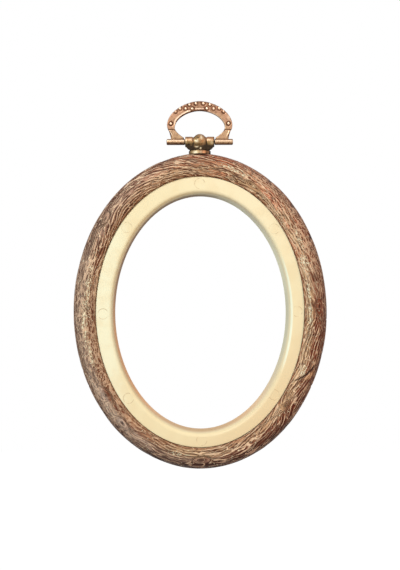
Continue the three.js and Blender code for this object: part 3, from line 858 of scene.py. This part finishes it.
ferrule_radius = ferrule_high.x
ferrule_profile = filleted_loop(
    [
        (FERRULE_BORE_RADIUS, ferrule_low.z),
        (ferrule_radius, ferrule_low.z),
        (ferrule_radius, ferrule_high.z),
        (FERRULE_BORE_RADIUS, ferrule_high.z),
    ],
    [SHARP_CORNER, FERRULE_CORNER, FERRULE_CORNER, SHARP_CORNER],
    TURNED_SPACING,
    8,
)
ferrule_points = turned_shell(ferrule_profile)
from_base = (ferrule_points[..., 2] - ferrule_low.z) / (ferrule_high.z - ferrule_low.z)
sideways = ferrule_points[..., 0] / MM
# Painted shade: darker at the base, where it stands in its seat, at the top under the collar,
# towards the right and at both sides. It is painted yellower on the left and redder on the right,
# as painted reflections.
hollow = ramp(from_base, 0.36, 0.24) + 0.9 * ramp(from_base, 0.72, 0.97)
hollow += 0.15 * ramp(sideways, 0, 3) + 0.7 * ramp(np.abs(sideways), 3.4, 4.0)
ferrule_values = {
    "hollow": np.clip(hollow + spots(sideways, from_base, FERRULE_DARK_REFLECTIONS), 0, 1),
    "proud": spots(sideways, from_base, FERRULE_BRIGHT_REFLECTIONS),
    "warmth": ramp(sideways, -1, 1),
}
ferrule = grid_mesh("ferrule_turned", ferrule_points, ferrule_values)
ferrule.data.materials.append(brass)
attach(ferrule, "hoop")
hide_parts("ferrule")

# Hanger head
# One casting in antique brass: a barrel for the hinge pin with a ball at its middle, a web
# that thickens its neck, and a collar that bears on the ferrule.

BARREL_RADIUS = 2.12 * MM
BARREL_CORNER = 0.35 * MM
BALL_RADIUS = 2.65 * MM
BALL_RISE = 0.58 * MM
BALL_WAIST = 0.25 * MM
WEB_HALF_THICKNESS = 1.7 * MM
WEB_FOOT = 3.9 * MM
WEB_SHOULDER = 1.75 * MM
WEB_BOTTOM = 3.08 * MM
COLLAR_RADIUS = 2.95 * MM
COLLAR_HEIGHT = 0.75 * MM
HEAD_GAP = 0.03 * MM
PIN_HOLE_RADIUS = 0.7 * MM
SPIGOT_RADIUS = 2.0 * MM
SPIGOT_LENGTH = 1.7 * MM
BLEND = 0.16 * MM
HEAD_STEPS, HEAD_TURN_STEPS, HEAD_BORE_ROWS = 150, 168, 8
END_FACE_SHARE = 0.55

# Darker and brighter spots, as on the ferrule, but in mm from the pin's middle. The body's darker
# ones, in the creases by the ball and at its right end, are partly stain and partly painted shade;
# the ball's are a dark streak and painted shade, and the brighter ones are painted highlights.
BODY_STAIN_AND_SHADE = [
    (5.75, 0.2, 0.3, 3, 0.8), (-2.65, -0.4, 0.22, 2.2, 0.75), (2.7, -0.8, 0.25, 2.2, 0.95),
    (-3.3, -1.4, 0.5, 0.5, -0.2), (-1.5, -1.7, 0.9, 0.7, -0.6), (-4.3, -0.6, 0.5, 0.4, 0.2),
]
BODY_PAINTED_HIGHLIGHTS = [
    (-3.8, 0.85, 1.0, 0.4, 0.3), (3.7, 0.75, 0.9, 0.45, 0.32), (4.8, -0.5, 0.45, 0.7, 0.25),
    (-5.42, 0.35, 0.16, 0.8, 0.5), (-1.1, -2.15, 0.7, 0.22, 0.75), (0.4, -2.55, 0.35, 0.3, 0.8),
]
BALL_STREAK_AND_SHADE = [
    (-0.9, 1.5, 0.55, 0.6, 0.55), (-0.35, 1.4, 0.12, 1.2, 0.3), (2.1, 0.6, 0.5, 1.2, 0.3),
    (1.1, 0.3, 0.45, 0.6, 0.35), (0.1, -0.6, 0.14, 0.7, 0.35), (-2.2, 1.0, 0.4, 0.8, 0.2),
]
BALL_PAINTED_HIGHLIGHTS = [
    (-1.2, 0.1, 0.6, 0.45, 0.95), (0.6, 1.6, 0.28, 0.75, 0.7), (1.1, 1.4, 0.6, 0.8, 0.25),
    (0.2, 2.6, 0.8, 0.25, 0.2),
]

half_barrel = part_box("hanger_head")[1].x
seat_depth = PIN_Z - ferrule_high.z - HEAD_GAP


def soft_union(first, second, width):
    """The larger of two radii, rounded over where they are within width of each other."""
    apart = np.clip(0.5 + (first - second) / (2 * width), 0, 1)
    return second * (1 - apart) + first * apart + width * apart * (1 - apart)


def head_shell():
    """The head as a radius round the pin's axis, over x and the turn about that axis.

    Barrel, ball and web each give the distance from the axis to their surface in a direction, and
    the largest of them wins. The grid runs outside from end to end and comes back in the bore.
    """
    end_turn = np.linspace(0, np.pi / 2, 7)
    corner_x = half_barrel - BARREL_CORNER * (1 - np.sin(end_turn))
    middle_x = np.linspace(-corner_x[0], corner_x[0], HEAD_STEPS)[1:-1]
    xs = np.concatenate([-corner_x[::-1], middle_x, corner_x])
    turn = np.arange(HEAD_TURN_STEPS) * 2 * np.pi / HEAD_TURN_STEPS
    x, turn = np.meshgrid(xs, turn, indexing="ij")
    down = np.maximum(-np.sin(turn), 1e-6)
    flat = np.maximum(np.abs(np.cos(turn)), 1e-6)
    over = np.clip(np.abs(x) - (half_barrel - BARREL_CORNER), 0, BARREL_CORNER)
    trim = BARREL_CORNER - np.sqrt(BARREL_CORNER**2 - over**2)
    barrel = BARREL_RADIUS - trim
    slice_squared = np.clip(BALL_RADIUS**2 - x**2 - (BALL_RISE * np.cos(turn)) ** 2, 0, None)
    ball = np.where(slice_squared > 0, BALL_RISE * np.sin(turn) + np.sqrt(slice_squared), 0)
    belly = ramp(np.abs(x), WEB_FOOT, half_barrel - BARREL_CORNER)
    web_depth = WEB_SHOULDER + (WEB_BOTTOM - WEB_SHOULDER) * (1 - belly**2)
    web_depth += (seat_depth - WEB_BOTTOM) * falloff(belly, 0.06)
    web = np.where(np.sin(turn) < 0, np.minimum(WEB_HALF_THICKNESS / flat, web_depth / down), 0)
    waist = BALL_WAIST * falloff(np.abs(x) - BALL_RADIUS, 0.25 * MM)
    outside = soft_union(soft_union(barrel - waist, ball, BLEND), web - trim, BLEND)
    outside = np.minimum(outside, np.where(np.sin(turn) < 0, seat_depth / down, 1.0))
    bore = np.full((HEAD_BORE_ROWS, HEAD_TURN_STEPS), PIN_HOLE_RADIUS)
    bore_x = np.linspace(half_barrel, -half_barrel, HEAD_BORE_ROWS)[:, None]
    end_rows = (outside[[0]] * END_FACE_SHARE, outside[[-1]] * END_FACE_SHARE)
    radius = np.concatenate([end_rows[0], outside, end_rows[1], bore])
    x = np.concatenate([x[:1], x, x[-1:], np.broadcast_to(bore_x, bore.shape)])
    turn = np.broadcast_to(turn[:1], radius.shape)
    return np.stack([x, radius * np.cos(turn), PIN_Z + radius * np.sin(turn)], -1)


head_points = head_shell()
x, z = head_points[..., 0] / MM, (head_points[..., 2] - PIN_Z) / MM
to_side = np.abs(x)
# Painted shade on the body: darker below the pin, higher up on the left, on its end faces and along
# its top. The ball is painted darker at its rim and below, with fine streaks down it.
painted_underside_shade = 0.95 * np.clip((-z - 0.4 - 0.35 * (x > 0)) / 0.9, 0, 1)
hollow = painted_underside_shade + 0.8 * ramp(to_side, 5.75, 5.85) + 0.55 * ramp(z, 1.6, 2.0)
hollow += spots(x, z, BODY_STAIN_AND_SHADE)
ball_streaks_and_shade = 0.4 * ramp(np.hypot(x, z - 0.58), 2.0, 2.5) + 0.7 * ramp(z, -1.0, -2.0)
ball_streaks_and_shade += 0.12 * np.sin(7 * x) ** 2 + spots(x, z, BALL_STREAK_AND_SHADE)
ball_warmth = np.clip(0.35 + 0.15 * x + 0.1 * z, 0, 1)
on_ball = ramp(to_side, 2.4, 2.3) * ramp(z, -1.75, -1.55)
off_ball = 1 - on_ball
head_values = {
    "hollow": np.clip(hollow * off_ball + ball_streaks_and_shade * on_ball, 0, 1),
    "proud": spots(x, z, BODY_PAINTED_HIGHLIGHTS) * off_ball + spots(x, z, BALL_PAINTED_HIGHLIGHTS) * on_ball,
    "warmth": np.clip(0.3 + 0.9 * z, 0, 1) * off_ball + ball_warmth * on_ball,
}

collar_base = ferrule_high.z + HEAD_GAP
collar_top, spigot_end = collar_base + COLLAR_HEIGHT, collar_base - SPIGOT_LENGTH
core = PIN_HOLE_RADIUS * 1.4
collar_profile = filleted_loop(
    [
        (core, spigot_end),
        (SPIGOT_RADIUS, spigot_end),
        (SPIGOT_RADIUS, collar_base),
        (COLLAR_RADIUS, collar_base),
        (COLLAR_RADIUS, collar_top),
        (core, collar_top),
    ],
    [SHARP_CORNER, SHARP_CORNER, SHARP_CORNER, 0.1 * MM, 0.3 * MM, SHARP_CORNER],
    TURNED_SPACING,
    6,
)
collar_points = turned_shell(collar_profile)
# The collar is painted in shade on its side and over its top, but for a painted glint on the top.
on_top = ramp(collar_points[..., 2], collar_base, collar_top)
at_glint = falloff(collar_points[..., 0] / MM - 0.4, 0.4)
collar_values = {
    "hollow": np.clip(1 - on_top + 0.6 * (1 - at_glint), 0, 1),
    "proud": 0.7 * on_top * at_glint,
    "warmth": np.zeros_like(on_top),
}
head_shells = [(head_points, head_values), (collar_points, collar_values)]
head = joined_mesh("hanger_head_casting", head_shells)
head.data.materials.append(brass)
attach(head, "hoop")
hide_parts("hanger_head")

# Fixing screw, washer and hinge pin
# Plain steel, hidden once assembled: the screw and its washer sit in the outer ring's pocket,
# and the pin joins the loop's feet through the barrel. The nodes themselves are the pieces.

steel, tree, shader = new_material("bright steel")
streak = noise(stretched(object_place(tree), (0.2, 1, 1)), 4000, 3)
tint = mixed(between(streak, 0.35, 0.7), (168, 166, 162), (128, 122, 112))
rough, normal = between(streak, 0.3, 0.7, 0.28, 0.45), bumped(streak, 0.01 * MM, 0.4)
feed(shader, {"Base Color": tint, "Roughness": rough, "Metallic": 1.0, "Normal": normal})
for node in ("hinge_pin", "fixing_screw", "screw_washer"):
    materials = bpy.data.objects[node].data.materials
    materials.clear()
    materials.append(steel)

# Hanging loop
# A flat casting in antique copper on two round feet, hinged on the pin. Its face carries round
# beads in sunk rings, rubbed bright on top, and a plain bar at the crown.

LOOP_HALF_WIDTH, LOOP_WIDEST, LOOP_TOP = 13.1, 6.8, 16.35
EYE_HALF_WIDTH, EYE_WIDEST, EYE_TOP = 10.05, 5.8, 12.5
ARCH_ROUNDNESS = 1.85
FOOT_OUTER, FOOT_INNER = 11.5, 6.35
NECK_HEIGHT, NECK_WAIST, SHOULDER_HEIGHT = 4.6, 0.65, 0.7
LEG_STRAIGHT, LEG_BULGE_HEIGHT, LEG_BULGE = 1.7, 4.0, 0.1
LOOP_HALF_THICKNESS = 0.6
FACE_RELIEF = 0.3
WALL_DRAFT = 0.26
EDGE_CHAMFER, OUTER_CHAMFER = 0.3, 0.2
BEAD_RADIUS, BEAD_HEIGHT = 0.56, 0.32
RING_RADIUS, RING_WIDTH, RING_DEPTH = 0.78, 0.21, 0.3
CROWN_ROW = ((1.5, 0.86), (4.1, 0.8), (7.85, 0.66), (9.65, 0.56))
EYE_ROW, EYE_ROW_RISE = (2.9, 5.6), 0.85
LEG_BEAD_EDGE, LEG_BEAD_HEIGHT = 1.55, 7.3
BAR_HALF_LENGTH, BAR_HALF_HEIGHT, BAR_HEIGHT = 1.75, 0.3, 13.3
FOOT_RADIUS = 1.2
FOOT_ROUNDING = 0.45
FOOT_END_GAP = 0.06
FOOT_BORE_RADIUS = 0.7
NECK_STEPS, SHOULDER_STEPS, CROWN_STEPS = 44, 22, 420
FACE_COLUMNS = 45
WALL_LEVELS = [-0.25, 0.1, 0.38, 0.52]
FOOT_TURN_STEPS = 56

# Small scallops in the crown's edge: number round half a turn, depth (mm), and how far each group
# lies from the top and how wide it is (radians)
SCALLOPS, SCALLOP_DEPTH, SCALLOPS_AT, SCALLOPS_REACH = 27, 0.12, 0.62, 0.3

# Darker places, a painted highlight and redder places, in mm from the pin's middle, then the neck's
# flute, which carries a painted highlight, and the painted shade beside it. In the neck's two rows
# the first number and half width are shares of the way from the inner edge to the outer one.
LOOP_DARKER = [(10.7, 8.4, 0.7, 1.3, 0.25), (8.6, 11.3, 1.2, 1.0, 0.2), (0, 15.6, 3, 0.6, 0.15)]
LOOP_PAINTED_HIGHLIGHT = [(11.7, 9.8, 0.7, 1.4, 0.3)]
LOOP_REDDER = [(11.0, 10.2, 1.4, 1.6, 0.35)]
NECK_FLUTE = [(0.82, 3.3, 0.055, 0.9, 1.0)]
NECK_FLUTE_SHADE = [(0.97, 3.0, 0.1, 1.3, 1.3), (0.71, 3.6, 0.05, 0.7, 0.4)]


def quadratic(start, bend, end, steps):
    """Points on a quadratic curve, without its last one."""
    t = (np.arange(steps) / steps)[:, None]
    start, bend, end = (np.array(p, float) for p in (start, bend, end))
    return start * (1 - t) ** 2 + 2 * bend * t * (1 - t) + end * t**2


def loop_edges():
    """Outer and inner edge of the loop (mm from the pin), up the right leg and down the left.

    Legs are quadratic curves and both arches are half a superellipse, with (x/a)^n + (z/b)^n = 1.
    The left half mirrors the right.
    """
    neck_top = (LOOP_HALF_WIDTH - NECK_WAIST, NECK_HEIGHT)
    shoulder_bend = (LOOP_HALF_WIDTH, NECK_HEIGHT + SHOULDER_HEIGHT)
    turn = np.linspace(0, np.pi, CROWN_STEPS + 1)[:, None]
    neck = quadratic((FOOT_OUTER, 0), (FOOT_OUTER, NECK_HEIGHT / 2), neck_top, NECK_STEPS)
    leg_top = (LOOP_HALF_WIDTH, LOOP_WIDEST)
    shoulder = quadratic(neck_top, shoulder_bend, leg_top, SHOULDER_STEPS)
    outer_leg = np.concatenate([neck, shoulder])
    straight = np.linspace((FOOT_INNER, 0), (FOOT_INNER, LEG_STRAIGHT), 12, endpoint=False)
    bulge = quadratic(
        (FOOT_INNER, LEG_STRAIGHT),
        (EYE_HALF_WIDTH - LEG_BULGE, LEG_BULGE_HEIGHT),
        (EYE_HALF_WIDTH, EYE_WIDEST),
        NECK_STEPS + SHOULDER_STEPS - len(straight),
    )
    inner_leg = np.concatenate([straight, bulge])
    crown_rise, eye_rise = LOOP_TOP - LOOP_WIDEST, EYE_TOP - EYE_WIDEST
    arch = np.sign(np.cos(turn)) * np.abs(np.cos(turn)) ** (2 / ARCH_ROUNDNESS)
    up = np.clip(np.sin(turn), 0, None) ** (2 / ARCH_ROUNDNESS)
    scallop = SCALLOP_DEPTH * np.abs(np.sin(turn * SCALLOPS))
    scallop *= falloff(np.abs(turn - np.pi / 2) - SCALLOPS_AT, SCALLOPS_REACH)
    crown_x, crown_z = (LOOP_HALF_WIDTH - scallop) * arch, (crown_rise - scallop) * up
    crown = np.hstack([crown_x, LOOP_WIDEST + crown_z])
    eye = np.hstack([EYE_HALF_WIDTH * arch, EYE_WIDEST + eye_rise * up])
    mirror = np.array([-1, 1])
    outer = np.concatenate([outer_leg, crown, outer_leg[::-1] * mirror])
    inner = np.concatenate([inner_leg, eye, inner_leg[::-1] * mirror])
    return outer, inner


def bead_places():
    """Beads on the right half, in mm from the pin.

    A row lies inside the crown's edge, a level one over the eye, and one bead on the leg.
    """
    crown = []
    for x, edge in CROWN_ROW:
        across_share = (x / (LOOP_HALF_WIDTH - edge)) ** ARCH_ROUNDNESS
        rise = (LOOP_TOP - LOOP_WIDEST - edge) * (1 - across_share) ** (1 / ARCH_ROUNDNESS)
        crown.append((x, LOOP_WIDEST + rise))
    eye = [(x, EYE_TOP + EYE_ROW_RISE) for x in EYE_ROW]
    return [*crown, *eye, (LOOP_HALF_WIDTH - LEG_BEAD_EDGE, LEG_BEAD_HEIGHT)]


def wall(edge):
    """An edge of the loop, repeated at each level of its wall."""
    rows = [np.stack([edge[:, 0], np.full(len(edge), y), edge[:, 1]], -1) for y in WALL_LEVELS]
    return np.stack(rows, 1)


def loop_shell():
    """The loop as a closed strip: rows run along it, columns run round its section.

    The front is a height over its plan: flat, chamfered at both edges, with a domed bead in a
    sunk ring at each bead's place. The walls lean by the casting's draft and the back is flat.
    """
    outer, inner = loop_edges()
    across = np.linspace(0, 1, FACE_COLUMNS)
    span = outer - inner
    width = np.linalg.norm(span, axis=1)[:, None]
    plan = inner[:, None] + span[:, None] * across[None, :, None]
    x, z = plan[..., 0], plan[..., 1]
    to_side = np.abs(x)
    to_inner, to_outer = across * width, (1 - across) * width
    above_neck = eased(ramp(z, NECK_HEIGHT, NECK_HEIGHT + 0.5))
    front = LOOP_HALF_THICKNESS + FACE_RELIEF * above_neck
    front -= 0.7 * np.clip(EDGE_CHAMFER - to_inner, 0, None)
    front -= 0.8 * np.clip(OUTER_CHAMFER - to_outer, 0, None)
    on_left = ramp(x, 4.5, 2.0) * ramp(z, 6.5, 8.5)
    # Darker along the outer edge, most at the crown's top. Painted shade lies along the upper left
    # of the eye's inner edge, and a painted highlight on the inner chamfer at the sides above the
    # neck.
    hollow = (0.3 + 0.5 * ramp(z, 11, 13)) * falloff(to_outer, 0.24)
    hollow += on_left * falloff(to_inner, 0.38)
    chamfer = falloff(to_inner - 0.66 * on_left, 0.2) * ramp(z, 4.9, 5.4)
    proud = 0.85 * chamfer * ramp(to_side, 3.4, 4.2)

    bead_base = LOOP_HALF_THICKNESS + 2 * FACE_RELIEF - BEAD_HEIGHT
    for bead_x, bead_z in bead_places():
        away = np.hypot(to_side - bead_x, z - bead_z)
        dome = np.sqrt(np.clip(1 - (away / BEAD_RADIUS) ** 2, 0, 1))
        front -= RING_DEPTH * falloff(away - RING_RADIUS, RING_WIDTH)
        raised = np.maximum(front, bead_base + BEAD_HEIGHT * dome)
        front = np.where(away < BEAD_RADIUS, raised, front)
        soot = 0.95 if bead_z == LEG_BEAD_HEIGHT else 0.55
        hollow = np.maximum(hollow, soot * falloff(away - RING_RADIUS + 0.02, 0.14))
        rubbed = 0.2 if bead_x == CROWN_ROW[-1][0] else 0.6
        proud = np.maximum(proud, rubbed * np.clip(1.5 * dome - 0.35, 0, 1))

    bar = np.maximum(to_side / BAR_HALF_LENGTH, np.abs(z - BAR_HEIGHT) / BAR_HALF_HEIGHT)
    bar_top = ramp(bar, 1.12, 0.88)
    bar_rim = falloff(bar - 1.5, 0.32) * (z > BAR_HEIGHT)
    neck_line = falloff(z - NECK_HEIGHT - 0.3 + 0.09 * (to_side - 11.4) ** 2, 0.2)
    foot_line = falloff(z - FOOT_RADIUS - 0.12, 0.2)
    flute = spots(across, z, NECK_FLUTE)
    flute_shade = spots(across, z, NECK_FLUTE_SHADE)
    front += 0.12 * bar_top - 0.14 * bar_rim - 0.14 * neck_line + 0.16 * flute
    # Darker in the ring round the bar, along the groove at the neck, above the feet and over the
    # crown's top, with painted shade beside the flute. The bar's top is rubbed bright, and the
    # flute and a spot on the right leg carry painted highlights, brighter on the left.
    darkening = 0.3 * ramp(z, 11.2, 12.7) * ramp(to_side, 8, 6) + spots(to_side, z, LOOP_DARKER)
    for stain in (0.7 * bar_rim, 0.8 * neck_line, 0.6 * foot_line, flute_shade, darkening):
        hollow = np.maximum(hollow, stain)
    for shine in (0.42 * bar_top, np.where(x > 0, 0.5, 0.8) * flute, spots(x, z, LOOP_PAINTED_HIGHLIGHT)):
        proud = np.maximum(proud, shine)
    warmth = 0.3 + 0.55 * ramp(z, 3.4, 5.8) + spots(x, z, LOOP_REDDER)
    warmth -= 0.5 * ramp(x, 5, 9) * falloff(to_inner, 0.9) * above_neck

    outwards = span / width
    front_face = np.stack([x, -front, z], -1)
    front_face[:, 0, [0, 2]] = inner + outwards * WALL_DRAFT
    back_outer = outer - outwards * WALL_DRAFT * 0.3
    back_share = np.linspace(0.97, 0.03, 10)[None, :, None]
    back_x, back_z = np.moveaxis(inner[:, None] + (back_outer - inner)[:, None] * back_share, -1, 0)
    back_face = np.stack([back_x, np.full(back_x.shape, LOOP_HALF_THICKNESS), back_z], -1)
    points = np.concatenate([front_face, wall(outer), back_face, wall(inner)[:, ::-1]], axis=1)
    rest = np.zeros((len(outer), points.shape[1] - FACE_COLUMNS))
    # The walls are painted in shade, the inner one darkest.
    painted_wall_shade = rest.copy()
    painted_wall_shade[:, : len(WALL_LEVELS)] = 0.3
    painted_wall_shade[:, -len(WALL_LEVELS) :] = 0.9
    values = {
        "hollow": np.hstack([hollow, painted_wall_shade]),
        "proud": np.hstack([proud, rest]),
        "warmth": np.hstack([np.clip(warmth, 0, 1), rest + 0.5]),
    }
    return points * MM + [0, 0, PIN_Z], values


def foot_shell(side):
    """A foot: a round bar along X, with a blind bore for the pin in the end by the barrel."""
    start, end = half_barrel + FOOT_END_GAP * MM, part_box("bail")[1].x
    bore_end = pin_high.x + 0.1 * MM
    radius, rounding, bore = (size * MM for size in (FOOT_RADIUS, FOOT_ROUNDING, FOOT_BORE_RADIUS))
    on_axis, sharp = 1e-6, 1e-5
    profile = filleted_loop(
        [(bore_end, 0), (bore_end, bore), (start, bore), (start, radius), (end, radius), (end, 0)],
        [on_axis, sharp, sharp, rounding * 0.7, rounding, on_axis],
        0.12 * MM,
        8,
    )
    profile = profile[profile[:, 1] > 2 * on_axis]
    turn = np.arange(FOOT_TURN_STEPS) * 2 * np.pi / FOOT_TURN_STEPS
    x, r = np.broadcast_to(profile[:, :1], (len(profile), FOOT_TURN_STEPS)), profile[:, 1:]
    y, z = r * np.cos(turn) * side, r * np.sin(turn)
    height = z / MM
    # A painted highlight runs along the front of each foot at the lit height, with painted shade
    # above and below it and at both ends.
    lit = 0.52 if side < 0 else 0.3
    hollow = 0.78 * ramp(height, lit - 0.5, lit - 1.25) + 0.7 * ramp(height, lit + 0.3, lit + 0.6)
    hollow += ramp(x, start + 0.27 * MM, start + 0.07 * MM) + 0.5 * ramp(x, end - 0.3 * MM, end)
    values = {
        "hollow": np.clip(hollow, 0, 1),
        "proud": 0.35 * falloff(height - lit, 0.3) * (y < 0),
        "warmth": np.clip(0.25 + 0.5 * height, 0, 1),
    }
    return np.stack([x * side, y, z + PIN_Z], -1), values


# Its bright colour serves rubbed wear and painted highlights, its dark one patina and painted
# shade.
copper = plated_material(
    "antique copper",
    0.42,
    golden=(184, 151, 113),
    red=(186, 142, 112),
    polished=(255, 230, 200),
    stain=(84, 50, 34),
)
loop = joined_mesh("hanging_loop", [loop_shell(), foot_shell(1), foot_shell(-1)], capped=True)
loop.data.materials.append(copper)
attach(loop, "bail")
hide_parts("bail")

# Studio
# A white room: a pale floor lies well below the hanging hoop, a large soft lamp stands above on
# the left and a weaker, warmer one on the right, and the camera looks level at the hoop's face.

FLOOR_DROP, FLOOR_REACH = 0.35, 3.0
AMBIENT = 0.38
CAMERA_DISTANCE = 0.46
CAMERA_AZIMUTH, CAMERA_ELEVATION, CAMERA_ROLL = 0.5, -1.5, 0.1
AIM_ABOVE_CENTRE = 0.0106
VIEW_HEIGHT = 0.228
SENSOR = 24.0


def direct_rays(tree):
    """1 for rays from the camera and for those reflected or let through, and 0 for the rest."""
    kinds = ("Is Camera Ray", "Is Glossy Ray", "Is Transmission Ray")
    seen, mirrored, through = (add_node(tree, "LightPath", output=kind) for kind in kinds)
    return larger(larger(seen, mirrored), through)


floor_z = cad_box[0][2] - FLOOR_DROP
floor_mesh = bpy.data.meshes.new("floor")
right, left = FLOOR_REACH, -FLOOR_REACH
corners = [(left, left), (right, left), (right, right), (left, right)]
floor_mesh.from_pydata([(x, y, floor_z) for x, y in corners], [], [(0, 1, 2, 3)])
floor = placed("floor", floor_mesh)
white_floor, tree, shader = new_material("white floor")
feed(shader, {"Base Color": paint(180, 180, 180), "Roughness": 0.9})
feed(shader, {"Emission Color": (0.8, 0.8, 0.8, 1), "Emission Strength": direct_rays(tree)})
floor.data.materials.append(white_floor)

world = bpy.data.worlds.new("studio")
bpy.context.scene.world = world
world.use_nodes = True
tree = world.node_tree
strength = larger(direct_rays(tree), AMBIENT)
feed(tree.nodes["Background"], {"Strength": strength, "Color": (1, 1, 1, 1)})

hoop_centre = np.array([0.0, 0.0, HOOP_CENTRE_Z])


def aimed(look):
    """Euler turn that points -Z of a lamp or camera along look, with its top towards +Z."""
    x, y, z = look / np.linalg.norm(look)
    return (math.acos(-z), 0.0, math.atan2(-x, y))


def soft_lamp(name, place, size, watts, colour):
    lamp = bpy.data.lights.new(name, "AREA")
    lamp.shape = "RECTANGLE"
    lamp.size, lamp.size_y = size
    lamp.energy, lamp.color = watts, colour
    made = placed(name, lamp)
    made.location = place
    made.rotation_euler = aimed(hoop_centre - place)


soft_lamp("key lamp", (-0.37, -0.71, 0.52), (0.42, 0.36), 7.3, (0.94, 1.0, 1.06))
soft_lamp("fill lamp", (0.69, -0.58, -0.08), (0.4, 0.5), 2.0, (1.0, 0.58, 0.3))

camera_data = bpy.data.cameras.new("camera")
camera_data.sensor_fit = "VERTICAL"
camera_data.sensor_height = SENSOR
camera_data.lens = SENSOR * CAMERA_DISTANCE / VIEW_HEIGHT
camera = placed("camera", camera_data)
azimuth, elevation = math.radians(CAMERA_AZIMUTH), math.radians(CAMERA_ELEVATION)
level = math.cos(elevation)
offset = np.array([math.sin(azimuth) * level, -math.cos(azimuth) * level, math.sin(elevation)])
camera.location = hoop_centre + [0, 0, AIM_ABOVE_CENTRE] + offset * CAMERA_DISTANCE
camera.rotation_euler = aimed(-offset)
camera.rotation_euler.rotate_axis("Z", -math.radians(CAMERA_ROLL))
bpy.context.scene.camera = camera
bpy.context.scene.view_settings.view_transform = "Standard"
